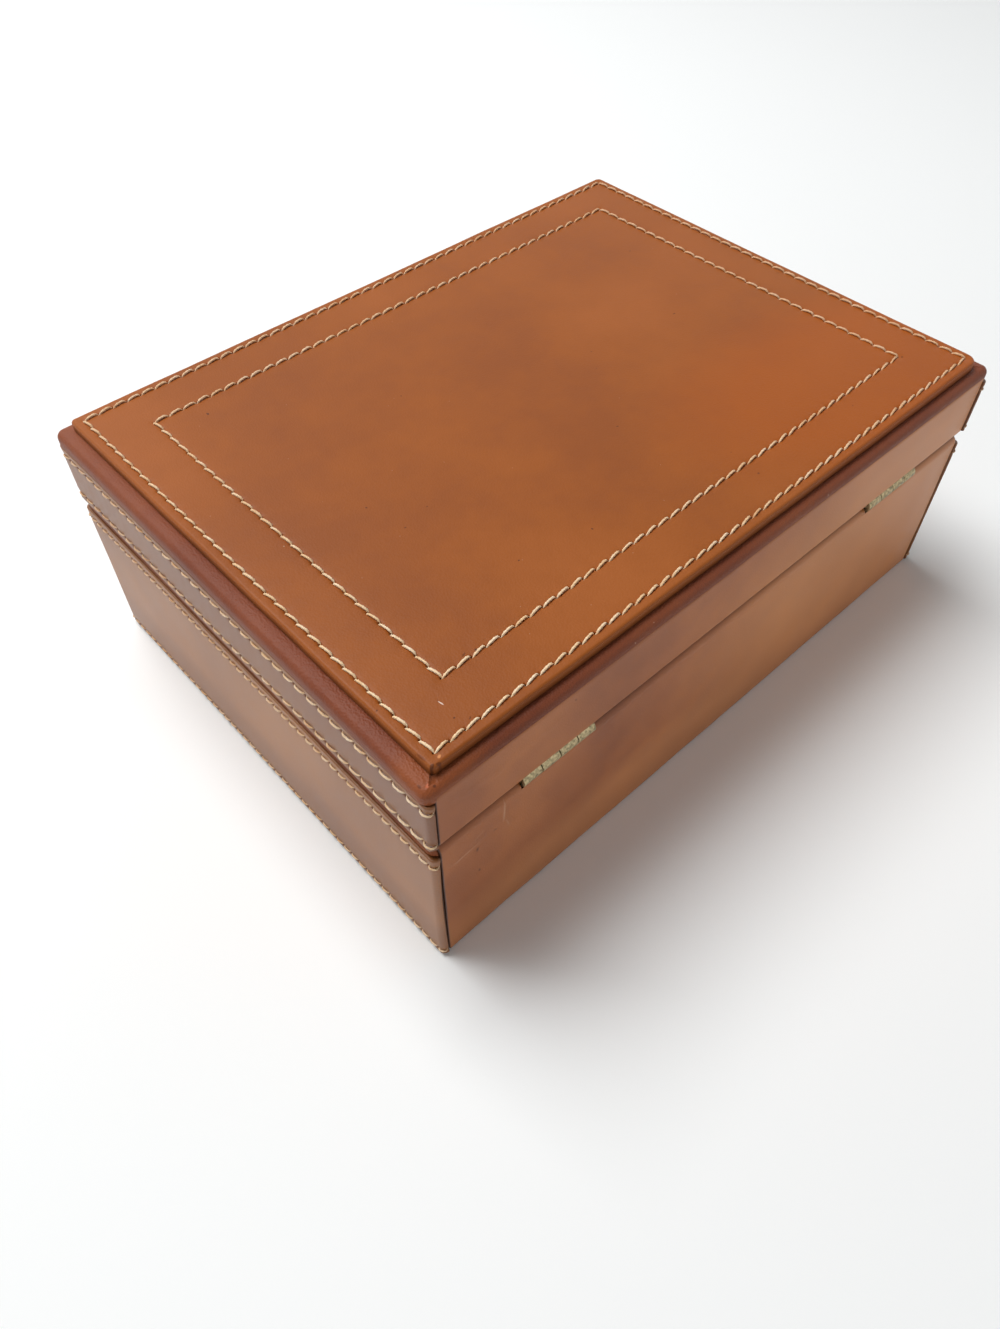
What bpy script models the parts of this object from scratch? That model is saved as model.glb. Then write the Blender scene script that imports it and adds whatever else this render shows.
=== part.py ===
"""A leather-covered wooden jewellery box with a lock, a hinged lid and a lift-out tray.

X runs along the box, from left to right as the lock side is seen. The lock is on the -Y side, the two
brass hinges are on the +Y side, and the box stands on the plane z = 0 with the origin at the middle of
its underside. All sizes are in metres.
"""

import math

import bmesh
import bpy
from mathutils import Vector

# Outer shape
LENGTH = 0.240
DEPTH = 0.177
PARTING_HEIGHT = 0.060
RIM_HEIGHT = 0.0865
BAND_CORNER = 0.0020
CORNER_EASE = 0.0002
RIM_DROP = 0.0045
RIM_ROUND = 0.0026
PARTING_ROUND = 0.003

# Materials and fits
CLEARANCE = 0.0003
BOARD = 0.009
FLOOR_BOARD = 0.006
TOP_BOARD = 0.006
BAND_LEATHER = 0.0019
COVER_LEATHER = 0.0011
CAP_LEATHER = 0.0016
BACK_LEATHER = 0.0013
LINING = 0.0015
BOARD_EDGE = 0.0004

# Leather bands round the front and the two ends
BAND_RETURN = 0.0006
BAND_FOOT = 0.0004
BASE_BAND_DROP = 0.0033
LID_BAND_LIFT = 0.0005
BAND_GAP = 0.0007
HINGE_RELIEF = 0.0031

# Raised panel on the lid
PLAQUE_RISE = 0.0035
PLAQUE_END_MARGIN = 0.0049
PLAQUE_SIDE_MARGIN = 0.0039
PLAQUE_CORNER = 0.0018
PLAQUE_ROUND = 0.0010
PLAQUE_FOOT_ROUND = 0.0008

# Saddle stitching
THREAD_RADIUS = 0.00045
THREAD_PROUD = 0.0002
OUTER_ROW_INSET = 0.0033
INNER_ROW_INSET = 0.0184
ROW_CORNER = 0.0012
LID_UPPER_ROW = 0.0030
LID_LOWER_ROW = 0.0029
BASE_UPPER_ROW = 0.0037
BASE_LOWER_ROW = 0.0021

# Hinges
HINGE_FROM_END = 0.0307
HINGE_LENGTH = 0.026
HINGE_INSET = 0.0017
KNUCKLES = 4
KNUCKLE_RADIUS = 0.0023
KNUCKLE_GAP = 0.0003
PIN_RADIUS = 0.0011
PIN_PLAY = 0.00005
RECESS_PLAY = 0.0004
LEAF_DEPTH = 0.0086
LEAF_THICKNESS = 0.0011
SCREW_SPACING = 0.0150
SCREW_HEAD_RADIUS = 0.0014
SCREW_SHANK_RADIUS = 0.0006
SCREW_LENGTH = 0.0062
SCREW_HEAD_DEPTH = 0.0009
SCREW_TIP = 0.0012
SCREW_SINK = 0.0001

# Lock
LOCK_PLATE_OVERLAP = 0.0018
LOCK_BELOW_KEY = 0.0038
LOCK_FRONT_SKIN = 0.0023
LOCK_SHEET = 0.0008
LOCK_COVER = 0.0008
LOCK_CEILING = 0.0020
BOLT_THICKNESS = 0.0016
BOLT_TRAVEL = 0.0048
BOLT_BAR_HEIGHT = 0.0026
BOLT_FINGER = 0.0016
BOLT_FINGER_DROP = 0.0022
BOLT_NOTCH = 0.0032
BOLT_NOSE_HEIGHT = 0.0018
BOLT_POST = 0.0014
TONGUE_SPACING = 0.016
TONGUE_WIDTH = 0.007
TONGUE_LIP = 0.0016
TONGUE_NOTCH_HEIGHT = 0.0026
TONGUE_NECK = 0.00125
TONGUE_SPINE = 0.0024
TONGUE_PLAY = 0.0004
NOSE_REST_GAP = 0.0006
KEY_SHANK_RADIUS = 0.0014
KEY_BIT_REACH = 0.0036
KEY_BIT_WIDTH = 0.0016
KEY_BIT_GAP = 0.0008
KEY_OUTSIDE = 0.0125
KEY_BOW_RADIUS = 0.006
KEY_BOW_WIRE = 0.0013
KEY_COLLAR_RADIUS = 0.0021
KEY_COLLAR_LENGTH = 0.0013
KEYHOLE_PLAY = 0.0005
ESCUTCHEON_RADIUS = 0.0062
ESCUTCHEON_THICKNESS = 0.0010
QUARTER_TURN = math.pi / 2

# Inside
UNDERSIDE_COVER = 0.0012
FLOOR_LINING = 0.0020
LID_PAD = 0.0030
LID_PAD_ROUND = 0.0010
LEDGE_THICKNESS = 0.003
LEDGE_HEIGHT = 0.022
TRAY_PLAY = 0.0006
TRAY_FLOOR = 0.0025
TRAY_WALL = 0.003
TRAY_WALL_HEIGHT = 0.0215
TRAY_DIVIDER_DROP = 0.002
TRAY_FRONT_COMPARTMENT = 0.058
TRAY_LEFT_COMPARTMENT = 0.118
RING_ROLLS = 5
RING_PAD_BASE = 0.005

# Smoothness of round shapes
CORNER_STEPS = 5
SEAM_STEPS = 4
ARC_STEPS = 5
PLAQUE_FOOT_STEPS = 2
PLAQUE_EDGE_STEPS = 4
ROLL_STEPS = 8
TURN_SIDES = 20
SCREW_SIDES = 12
ESCUTCHEON_SIDES = 32
BOW_SIDES = 24
LEAST_CORNER = 0.0002
CUT_PAST = 0.002

half_length = LENGTH / 2
half_depth = DEPTH / 2
board_inset = BAND_LEATHER + CLEARANCE
inner_inset = board_inset + BOARD
cover_inset = board_inset - CLEARANCE - COVER_LEATHER
cap_inset = board_inset - CLEARANCE - CAP_LEATHER
back_inset = board_inset - CLEARANCE - BACK_LEATHER
lining_inset = inner_inset + CLEARANCE
room_inset = lining_inset + LINING
back_round = min(PARTING_ROUND, BOARD)
rim_round = min(RIM_ROUND, RIM_DROP)
shell_corner = cover_inset + PARTING_ROUND + CORNER_EASE
base_top = PARTING_HEIGHT - CLEARANCE / 2
lid_bottom = PARTING_HEIGHT + CLEARANCE / 2
board_bottom = UNDERSIDE_COVER + CLEARANCE
floor_top = board_bottom + FLOOR_BOARD
floor_lining_top = floor_top + CLEARANCE + FLOOR_LINING
cap_bottom = RIM_HEIGHT - RIM_DROP
rim_start = RIM_HEIGHT - rim_round
lid_board_top = RIM_HEIGHT - CAP_LEATHER - CLEARANCE
base_band_top = base_top - BASE_BAND_DROP
lid_band_bottom = lid_bottom + LID_BAND_LIFT
lid_band_top = cap_bottom - CLEARANCE
plaque_foot = RIM_HEIGHT + CLEARANCE
plaque_top = RIM_HEIGHT + PLAQUE_RISE
return_x = half_length - BAND_CORNER - BAND_RETURN
mitre_gap = CLEARANCE * math.sqrt(2)
hinge_y = half_depth - back_inset - HINGE_INSET
hinge_x = half_length - HINGE_FROM_END - HINGE_LENGTH / 2
leaf_back = hinge_y - KNUCKLE_RADIUS - RECESS_PLAY
leaf_front = hinge_y - LEAF_DEPTH
screw_y = (leaf_back + leaf_front) / 2
recess_radius = KNUCKLE_RADIUS + RECESS_PLAY

parts = bpy.data.collections.new("jewelry_box")
helpers = bpy.data.collections.new("cutters")


def clear_scene():
    for obj in list(bpy.data.objects):
        bpy.data.objects.remove(obj, do_unlink=True)
    bpy.context.scene.collection.children.link(parts)
    bpy.context.scene.collection.children.link(helpers)


def make_material(name, colour, roughness, metallic=0.0):
    material = bpy.data.materials.new(name)
    material.use_nodes = True
    shader = material.node_tree.nodes["Principled BSDF"]
    shader.inputs["Base Color"].default_value = (*colour, 1.0)
    shader.inputs["Roughness"].default_value = roughness
    shader.inputs["Metallic"].default_value = metallic
    material.diffuse_color = (*colour, 1.0)
    return material


def add_object(name, mesh, place, material, body):
    """An object in the parts collection, held by its body's empty."""
    obj = bpy.data.objects.new(name, mesh)
    parts.objects.link(obj)
    if body is not None:
        obj.parent = body
        place = Vector(place) - body.location
    obj.location = place
    if material is not None:
        mesh.materials.clear()
        mesh.materials.append(material)
    return obj


def add_cutter(name, mesh, place, turn=(0, 0, 0)):
    obj = bpy.data.objects.new(name, mesh)
    helpers.objects.link(obj)
    obj.location = place
    obj.rotation_euler = turn
    obj.hide_render = True
    obj.display_type = "WIRE"
    return obj


def add_empty(name, place):
    obj = bpy.data.objects.new(name, None)
    helpers.objects.link(obj)
    obj.location = place
    return obj


def combine(obj, other, operation):
    modifier = obj.modifiers.new(operation.lower() + "_" + other.name, "BOOLEAN")
    modifier.operation = operation
    modifier.solver = "EXACT"
    modifier.object = other
    return obj


def cut(obj, *cutters):
    for cutter in cutters:
        combine(obj, cutter, "DIFFERENCE")
    return obj


def join(obj, *others):
    for other in others:
        combine(obj, other, "UNION")
    return obj


def round_edges(obj, width, segments=2, least_angle=35):
    bevel = obj.modifiers.new("rounded_edges", "BEVEL")
    bevel.width = width
    bevel.segments = segments
    bevel.limit_method = "ANGLE"
    bevel.angle_limit = math.radians(least_angle)
    return obj


def smooth(obj):
    obj.data.shade_smooth()
    obj.data.set_sharp_from_angle(angle=math.radians(35))
    return obj


def box_mesh(name, size):
    mesh = bpy.data.meshes.new(name)
    bm = bmesh.new()
    bmesh.ops.create_cube(bm, size=1.0)
    bmesh.ops.scale(bm, vec=size, verts=bm.verts)
    bm.to_mesh(mesh)
    bm.free()
    return mesh


def middle(low, high):
    return (Vector(low) + Vector(high)) / 2


def box(name, low, high, material, body=None, edge=0.0):
    """A box between two corners, its edges eased by a small bevel."""
    size = Vector(high) - Vector(low)
    obj = add_object(name, box_mesh(name, size), middle(low, high), material, body)
    if edge:
        round_edges(obj, edge, 1)
    return obj


def box_cutter(name, low, high):
    return add_cutter(name, box_mesh(name, Vector(high) - Vector(low)), middle(low, high))


def rod_mesh(name, radius, length, end_radius=None, sides=TURN_SIDES):
    """A round bar or cone along Z, centred on its origin."""
    mesh = bpy.data.meshes.new(name)
    bm = bmesh.new()
    bmesh.ops.create_cone(
        bm,
        cap_ends=True,
        segments=sides,
        radius1=radius,
        radius2=radius if end_radius is None else end_radius,
        depth=length,
    )
    bm.to_mesh(mesh)
    bm.free()
    return mesh


TURN_TO_X = (0, QUARTER_TURN, 0)
TURN_TO_Y = (QUARTER_TURN, 0, 0)
OUTLINE_YZ = (QUARTER_TURN, 0, QUARTER_TURN)
OUTLINE_XZ = (QUARTER_TURN, 0, 0)


def curve_object(name, points, closed):
    curve = bpy.data.curves.new(name, "CURVE")
    spline = curve.splines.new("POLY")
    spline.points.add(len(points) - 1)
    for spline_point, point in zip(spline.points, points):
        spline_point.co = (*point, 1.0)
    spline.use_cyclic_u = closed
    obj = bpy.data.objects.new(name, curve)
    helpers.objects.link(obj)
    return obj


def mesh_from_curve(obj, weld=1e-6):
    """The curve's shape as a mesh with its caps welded on; the curve is removed."""
    bpy.context.view_layer.update()
    graph = bpy.context.evaluated_depsgraph_get()
    mesh = bpy.data.meshes.new_from_object(obj.evaluated_get(graph))
    mesh.name = obj.name
    bm = bmesh.new()
    bm.from_mesh(mesh)
    bmesh.ops.remove_doubles(bm, verts=bm.verts, dist=weld)
    bmesh.ops.recalc_face_normals(bm, faces=bm.faces)
    bm.to_mesh(mesh)
    bm.free()
    bpy.data.objects.remove(obj, do_unlink=True)
    return mesh


def plate_mesh(name, outline, thickness):
    """A flat outline made as thick as asked, half on each side of its plane."""
    obj = curve_object(name + "_outline", [(x, y, 0.0) for x, y in outline], True)
    obj.data.dimensions = "2D"
    obj.data.fill_mode = "BOTH"
    obj.data.extrude = thickness / 2
    return mesh_from_curve(obj)


def plate(name, outline, start, end, plane, material, body=None):
    """An outline in the plane XY, YZ or XZ, carried along the third axis from start to end."""
    mesh = plate_mesh(name, outline, end - start)
    centre = (start + end) / 2
    place = {"XY": (0, 0, centre), "YZ": (centre, 0, 0), "XZ": (0, centre, 0)}[plane]
    obj = add_object(name, mesh, place, material, body)
    obj.rotation_euler = {"XY": (0, 0, 0), "YZ": OUTLINE_YZ, "XZ": OUTLINE_XZ}[plane]
    return obj


def tube_mesh(name, path, radius, closed, resolution=2):
    obj = curve_object(name + "_path", path, closed)
    obj.data.dimensions = "3D"
    obj.data.bevel_depth = radius
    obj.data.bevel_resolution = resolution
    obj.data.use_fill_caps = not closed
    return mesh_from_curve(obj)


def arc(centre_x, centre_y, radius, start, end, steps=ARC_STEPS):
    """Points on an arc, from one angle to another in degrees."""
    angles = [math.radians(start + (end - start) * i / steps) for i in range(steps + 1)]
    return [(centre_x + radius * math.cos(a), centre_y + radius * math.sin(a)) for a in angles]


def rounded_rectangle(half_x, half_y, radius):
    """A closed outline with round corners, anticlockwise from the +X +Y corner."""
    radius = max(radius, LEAST_CORNER)
    points = []
    for quarter, (side_x, side_y) in enumerate(((1, 1), (-1, 1), (-1, -1), (1, -1))):
        centre_x = side_x * (half_x - radius)
        centre_y = side_y * (half_y - radius)
        points += arc(centre_x, centre_y, radius, 90 * quarter, 90 * quarter + 90, CORNER_STEPS)
    return points


def shell_path(inset):
    """The box's plan, this far inside the bands' outer face, as a closed line."""
    return rounded_rectangle(half_length - inset, half_depth - inset, shell_corner - inset)


def band_path(inset, shorten=0.0, steps=CORNER_STEPS):
    """The bands' plan: round both ends and the front, with a short return on the hinge side."""
    radius = max(BAND_CORNER - inset, LEAST_CORNER)
    side_x = half_length - inset
    side_y = half_depth - inset
    right = arc(side_x - radius, side_y - radius, radius, 90, 0, steps)
    front_right = arc(side_x - radius, radius - side_y, radius, 0, -90, steps)
    half_way = [(return_x + shorten, side_y)] + right + front_right
    return half_way + [(-x, y) for x, y in reversed(half_way)]


def strip_outline(outside, inside):
    """The outline of a strip that follows the bands' plan, between two insets."""
    return band_path(outside) + list(reversed(band_path(inside)))


def loft_rows(bm, paths):
    """Outlines at rising heights, joined by faces. paths is a list of (points, z), alike in number."""
    rows = [[bm.verts.new((x, y, z)) for x, y in points] for points, z in paths]
    count = len(rows[0])
    for lower, upper in zip(rows, rows[1:]):
        for i in range(count):
            j = (i + 1) % count
            bm.faces.new((lower[i], lower[j], upper[j], upper[i]))
    return rows


def skin(name, paths, top, thickness, material, body):
    """A leather skin: outlines joined to an open surface, which then gets its thickness inwards."""
    mesh = bpy.data.meshes.new(name)
    bm = bmesh.new()
    rows = loft_rows(bm, paths)
    if top:
        bm.faces.new(rows[-1])
    bm.to_mesh(mesh)
    bm.free()
    obj = add_object(name, mesh, (0, 0, 0), material, body)
    solidify = obj.modifiers.new("leather_thickness", "SOLIDIFY")
    solidify.thickness = thickness
    solidify.offset = -1
    solidify.use_even_offset = True
    return obj


def loft_mesh(name, paths):
    """Closed outlines stacked into one solid."""
    mesh = bpy.data.meshes.new(name)
    bm = bmesh.new()
    rows = loft_rows(bm, paths)
    bm.faces.new(rows[-1])
    bm.faces.new(list(reversed(rows[0])))
    bm.to_mesh(mesh)
    bm.free()
    return mesh


def rolled_profile(outer, cap_end, far_end, near, rise):
    """The section of a leather that covers the hinge side and turns over the edge beside the parting.

    near is the height of the turned edge's flat face, far_end the other end of the sheet, and rise is
    +1 where the sheet lies above the parting and -1 where it lies below.
    """
    centre_y = outer - back_round
    centre_z = near + rise * back_round
    outside = [(centre_y + y, centre_z - rise * z) for y, z in arc(0, 0, back_round, 0, 90)]
    inner_round = back_round - BACK_LEATHER
    inside = [(centre_y + y, centre_z - rise * z) for y, z in arc(0, 0, inner_round, 90, 0)]
    start = [(outer, far_end)]
    cap = [(cap_end, near), (cap_end, near + rise * BACK_LEATHER)]
    return start + outside + cap + inside + [(outer - BACK_LEATHER, far_end)]


def thread_and_groove(name, path, closed, groove_path, leather, material, body):
    """A seam's thread, as one smooth line, and the groove that it lies in."""
    groove_radius = THREAD_RADIUS + CLEARANCE
    groove = add_cutter(name + "_groove", tube_mesh(name, groove_path, groove_radius, closed), (0, 0, 0))
    cut(leather, groove)
    thread = add_object(name, tube_mesh(name, path, THREAD_RADIUS, closed), (0, 0, 0), material, body)
    return smooth(thread)


def band_seam(name, height, leather, material, body):
    inset = THREAD_RADIUS - THREAD_PROUD
    path = [(x, y, height) for x, y in band_path(inset, CLEARANCE, SEAM_STEPS)]
    groove_path = [(x, y, height) for x, y in band_path(inset, -CUT_PAST, SEAM_STEPS)]
    return thread_and_groove(name, path, False, groove_path, leather, material, body)


def plaque_seam(name, row_inset, leather, material, body):
    height = plaque_top - THREAD_RADIUS + THREAD_PROUD
    row = rounded_rectangle(
        half_length - PLAQUE_END_MARGIN - row_inset,
        half_depth - PLAQUE_SIDE_MARGIN - row_inset,
        ROW_CORNER,
    )
    path = [(x, y, height) for x, y in row]
    return thread_and_groove(name, path, True, path, leather, material, body)


def hinge_side_share(name, gap, past):
    """The hinge side's share of the edges beside the parting, with a mitre at each rear corner.

    gap narrows it along the mitres, and past carries it inwards beyond the boards' inner face.
    """
    inner_x = half_length - inner_inset
    inner_y = half_depth - inner_inset
    right = [
        (inner_x - gap - past, inner_y - past),
        (return_x, inner_y + gap + return_x - inner_x),
        (return_x, half_depth + CUT_PAST),
    ]
    outline = right + [(-x, y) for x, y in reversed(right)]
    return add_cutter(name, plate_mesh(name, outline, RIM_HEIGHT), (0, 0, RIM_HEIGHT / 2))


def make_cutters():
    """Recesses and holes that several pieces share."""
    found = {}
    length = LENGTH + 2 * CUT_PAST
    mesh = rod_mesh("hinge_relief", HINGE_RELIEF, length)
    found["relief"] = add_cutter("hinge_relief", mesh, (0, hinge_y, PARTING_HEIGHT), TURN_TO_X)
    found["hinge_side"] = hinge_side_share("hinge_side_opening", 0, CLEARANCE)
    found["back_share"] = hinge_side_share("back_leather_share", mitre_gap, CUT_PAST)
    room = (half_length - inner_inset, half_depth - inner_inset)
    found["room"] = box_cutter("room", (-room[0], -room[1], 0), (*room, RIM_HEIGHT))
    for side_name, side in (("left", -1), ("right", 1)):
        barrel = rod_mesh(side_name + "_barrel_recess", recess_radius, HINGE_LENGTH + 2 * RECESS_PLAY)
        place = (side * hinge_x, hinge_y, PARTING_HEIGHT)
        found[side_name + "_barrel"] = add_cutter(side_name + "_barrel_recess", barrel, place, TURN_TO_X)
        reach = HINGE_LENGTH / 2 + CLEARANCE
        thick = LEAF_THICKNESS + BACK_LEATHER + CLEARANCE
        low = (side * hinge_x - reach, leaf_front - CLEARANCE, PARTING_HEIGHT - thick)
        high = (side * hinge_x + reach, hinge_y, PARTING_HEIGHT + thick)
        found[side_name + "_leaf"] = box_cutter(side_name + "_leaf_recess", low, high)
        for row, along in enumerate((-1, 1)):
            for body_name, up in (("base", -1), ("lid", 1)):
                radius = SCREW_SHANK_RADIUS + CLEARANCE
                hole = rod_mesh("screw_hole", radius, 2 * SCREW_LENGTH, sides=SCREW_SIDES)
                x = side * hinge_x + along * SCREW_SPACING / 2
                z = PARTING_HEIGHT + up * (SCREW_LENGTH + CLEARANCE)
                key = f"{side_name}_{body_name}_hole_{row}"
                found[key] = add_cutter(key, hole, (x, screw_y, z))
    return found


def base_stock():
    """The block that the base's walls are cut from, rounded beside the parting."""
    edge = PARTING_ROUND - COVER_LEATHER - CLEARANCE
    rows = [(shell_path(board_inset), board_bottom - CUT_PAST)]
    for turn, rise in arc(0, 0, edge, 0, 90):
        rows.append((shell_path(board_inset + edge - turn), base_top - PARTING_ROUND + rise))
    return add_cutter("base_stock", loft_mesh("base_stock", rows), (0, 0, 0))


def lid_stock():
    """The block that the lid's walls are cut from, rounded beside the parting and at the rim."""
    edge = PARTING_ROUND - COVER_LEATHER - CLEARANCE
    rim = rim_round - CAP_LEATHER - CLEARANCE
    rows = []
    for turn, rise in arc(0, 0, edge, -90, 0):
        rows.append((shell_path(board_inset + edge - turn), lid_bottom + PARTING_ROUND + rise))
    for turn, rise in arc(0, 0, rim, 0, 90):
        rows.append((shell_path(board_inset + rim - turn), rim_start + rise))
    return add_cutter("lid_stock", loft_mesh("lid_stock", rows), (0, 0, 0))


def make_boards(prefix, stock, heights, back_heights, material, body, cutters):
    """The four wooden walls of the base or of the lid. The long ones run the full length."""
    made = {}
    end = half_length + CUT_PAST
    side = half_depth + CUT_PAST
    inner_x = half_length - inner_inset
    inner_y = half_depth - inner_inset
    butt = inner_y - CLEARANCE
    spans = {
        "front": ((-end, -side), (end, -inner_y)),
        "back": ((-end, inner_y), (end, side)),
        "left": ((-end, -butt), (-inner_x, butt)),
        "right": ((inner_x, -butt), (end, butt)),
    }
    for name, (near, far) in spans.items():
        low, high = back_heights if name == "back" else heights
        board = box(f"{prefix}_{name}_board", (*near, low), (*far, high), material, body)
        made[name] = combine(board, stock, "INTERSECT")
    for side_name in ("left", "right"):
        cut(made["back"], cutters[side_name + "_barrel"])
        for row in range(2):
            cut(made["back"], cutters[f"{side_name}_{prefix}_hole_{row}"])
    return made


def make_lining_ring(name, bottom, top, material, body):
    """The wall lining: one sheet that goes right round the inside."""
    outer = plate(
        name,
        rounded_rectangle(half_length - lining_inset, half_depth - lining_inset, LEAST_CORNER),
        bottom,
        top,
        "XY",
        material,
        body,
    )
    inner = rounded_rectangle(half_length - room_inset, half_depth - room_inset, LEAST_CORNER)
    hollow = add_cutter(
        name + "_room",
        plate_mesh(name + "_room", inner, top - bottom + 2 * CUT_PAST),
        (0, 0, (top + bottom) / 2),
    )
    return cut(outer, hollow)


def make_leaf(name, side, up, material, body):
    """One leaf of a hinge with its knuckles, let in flush with the edge that it is screwed to."""
    centre = side * hinge_x
    pitch = (HINGE_LENGTH + KNUCKLE_GAP) / KNUCKLES
    knuckle_length = pitch - KNUCKLE_GAP
    near = PARTING_HEIGHT + up * CLEARANCE / 2
    far = near + up * LEAF_THICKNESS
    low_z, high_z = min(near, far), max(near, far)
    leaf = box(
        name,
        (centre - HINGE_LENGTH / 2, leaf_front, low_z),
        (centre + HINGE_LENGTH / 2, leaf_back, high_z),
        material,
        body,
    )
    bore_radius = (PIN_RADIUS + PIN_PLAY) / math.cos(math.pi / TURN_SIDES)
    first = 0 if up < 0 else 1
    for number in range(first, KNUCKLES, 2):
        x = centre - side * (HINGE_LENGTH / 2 - knuckle_length / 2 - number * pitch)
        web_mesh = box_mesh("web", (knuckle_length, KNUCKLE_RADIUS, LEAF_THICKNESS))
        web_y = leaf_back + KNUCKLE_RADIUS / 2 - RECESS_PLAY
        web = add_cutter(f"{name}_web_{number}", web_mesh, (x, web_y, (near + far) / 2))
        roll_mesh = rod_mesh("roll", KNUCKLE_RADIUS, knuckle_length)
        place = (x, hinge_y, PARTING_HEIGHT)
        roll = add_cutter(f"{name}_knuckle_{number}", roll_mesh, place, TURN_TO_X)
        join(leaf, web, roll)
    bore_mesh = rod_mesh("bore", bore_radius, HINGE_LENGTH + 2 * CUT_PAST)
    bore_place = (centre, hinge_y, PARTING_HEIGHT)
    cut(leaf, add_cutter(name + "_bore", bore_mesh, bore_place, TURN_TO_X))
    for row, along in enumerate((-1, 1)):
        x = centre + along * SCREW_SPACING / 2
        depth = LEAF_THICKNESS + 2 * CLEARANCE
        wide = SCREW_HEAD_RADIUS + CLEARANCE
        narrow = SCREW_SHANK_RADIUS + CLEARANCE
        radii = (narrow, wide) if up < 0 else (wide, narrow)
        sink = rod_mesh("countersink", radii[0], depth, radii[1])
        cut(leaf, add_cutter(f"{name}_countersink_{row}", sink, (x, screw_y, (near + far) / 2)))
    return leaf


def make_screw(name, x, up, material, body):
    """A countersunk wood screw, turned from one profile, with its head flush in the leaf."""
    profile = [
        (0.0, 0.0),
        (SCREW_HEAD_RADIUS, 0.0),
        (SCREW_SHANK_RADIUS, -SCREW_HEAD_DEPTH),
        (SCREW_SHANK_RADIUS, SCREW_TIP - SCREW_LENGTH),
        (0.0, -SCREW_LENGTH),
    ]
    mesh = bpy.data.meshes.new(name)
    bm = bmesh.new()
    line = [bm.verts.new((radius, 0.0, z)) for radius, z in profile]
    edges = [bm.edges.new(pair) for pair in zip(line, line[1:])]
    bmesh.ops.spin(
        bm,
        geom=line + edges,
        cent=(0, 0, 0),
        axis=(0, 0, 1),
        angle=2 * math.pi,
        steps=SCREW_SIDES,
        use_merge=True,
    )
    bmesh.ops.remove_doubles(bm, verts=bm.verts, dist=1e-6)
    bmesh.ops.recalc_face_normals(bm, faces=bm.faces)
    bm.to_mesh(mesh)
    bm.free()
    place = (x, screw_y, PARTING_HEIGHT + up * (CLEARANCE / 2 + SCREW_SINK))
    obj = add_object(name, mesh, place, material, body)
    obj.rotation_euler = (0, 0, 0) if up < 0 else (math.pi, 0, 0)
    return smooth(obj)


def make_hinges(materials, lid):
    for side_name, side in (("left", -1), ("right", 1)):
        for body_name, up, body in (("base", -1, None), ("lid", 1, lid)):
            make_leaf(f"{side_name}_hinge_{body_name}_leaf", side, up, materials["brass"], body)
            for row, along in enumerate((-1, 1)):
                x = side * hinge_x + along * SCREW_SPACING / 2
                name = f"{side_name}_hinge_{body_name}_screw_{row + 1}"
                make_screw(name, x, up, materials["brass"], body)
        mesh = rod_mesh("pin", PIN_RADIUS, HINGE_LENGTH)
        place = (side * hinge_x, hinge_y, PARTING_HEIGHT)
        pin = add_object(f"{side_name}_hinge_pin", mesh, place, materials["brass"], None)
        pin.rotation_euler = TURN_TO_X
        smooth(pin)


lock_front = -(half_depth - board_inset - LOCK_FRONT_SKIN)
lock_back = -(half_depth - inner_inset)
bolt_front = lock_front + LOCK_SHEET + CLEARANCE
bolt_back = bolt_front + BOLT_THICKNESS
lock_ceiling = base_top - LOCK_CEILING
notch_top = lock_ceiling - TONGUE_NECK
notch_bottom = notch_top - TONGUE_NOTCH_HEIGHT
tongue_bottom = notch_bottom - TONGUE_LIP
bolt_bar_top = tongue_bottom - TONGUE_PLAY
bolt_bar_bottom = bolt_bar_top - BOLT_BAR_HEIGHT
key_height = bolt_bar_bottom - KEY_BIT_GAP - KEY_BIT_REACH
nose_bottom = (notch_bottom + notch_top - BOLT_NOSE_HEIGHT) / 2
nose_top = nose_bottom + BOLT_NOSE_HEIGHT
lock_bottom = key_height - LOCK_BELOW_KEY
bolt_reach = TONGUE_SPACING / 2 + TONGUE_WIDTH / 2 + TONGUE_PLAY + BOLT_TRAVEL + BOLT_POST
lock_half = bolt_reach + CLEARANCE + LOCK_SHEET
plate_half = lock_half + LOCK_PLATE_OVERLAP
plate_front = -(half_depth - cover_inset - PARTING_ROUND)
plate_back = lock_back - LOCK_COVER - CLEARANCE
tongue_lefts = [side * TONGUE_SPACING / 2 - TONGUE_WIDTH / 2 for side in (-1, 1)]


def make_keyhole():
    """A round hole with a slot below it, through everything between the key's two ends."""
    hole_radius = KEY_SHANK_RADIUS + KEYHOLE_PLAY
    front = -half_depth - ESCUTCHEON_THICKNESS - CUT_PAST
    back = bolt_front + CLEARANCE / 2
    mesh = rod_mesh("keyhole_round", hole_radius, back - front)
    round_part = add_cutter("keyhole", mesh, (0, (front + back) / 2, key_height), TURN_TO_Y)
    slot_half = KEY_BIT_WIDTH / 2 + KEYHOLE_PLAY
    low = (-slot_half, front, key_height - KEY_BIT_REACH - KEYHOLE_PLAY)
    high = (slot_half, back, key_height)
    join(round_part, box_cutter("keyhole_slot", low, high))
    return round_part


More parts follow.
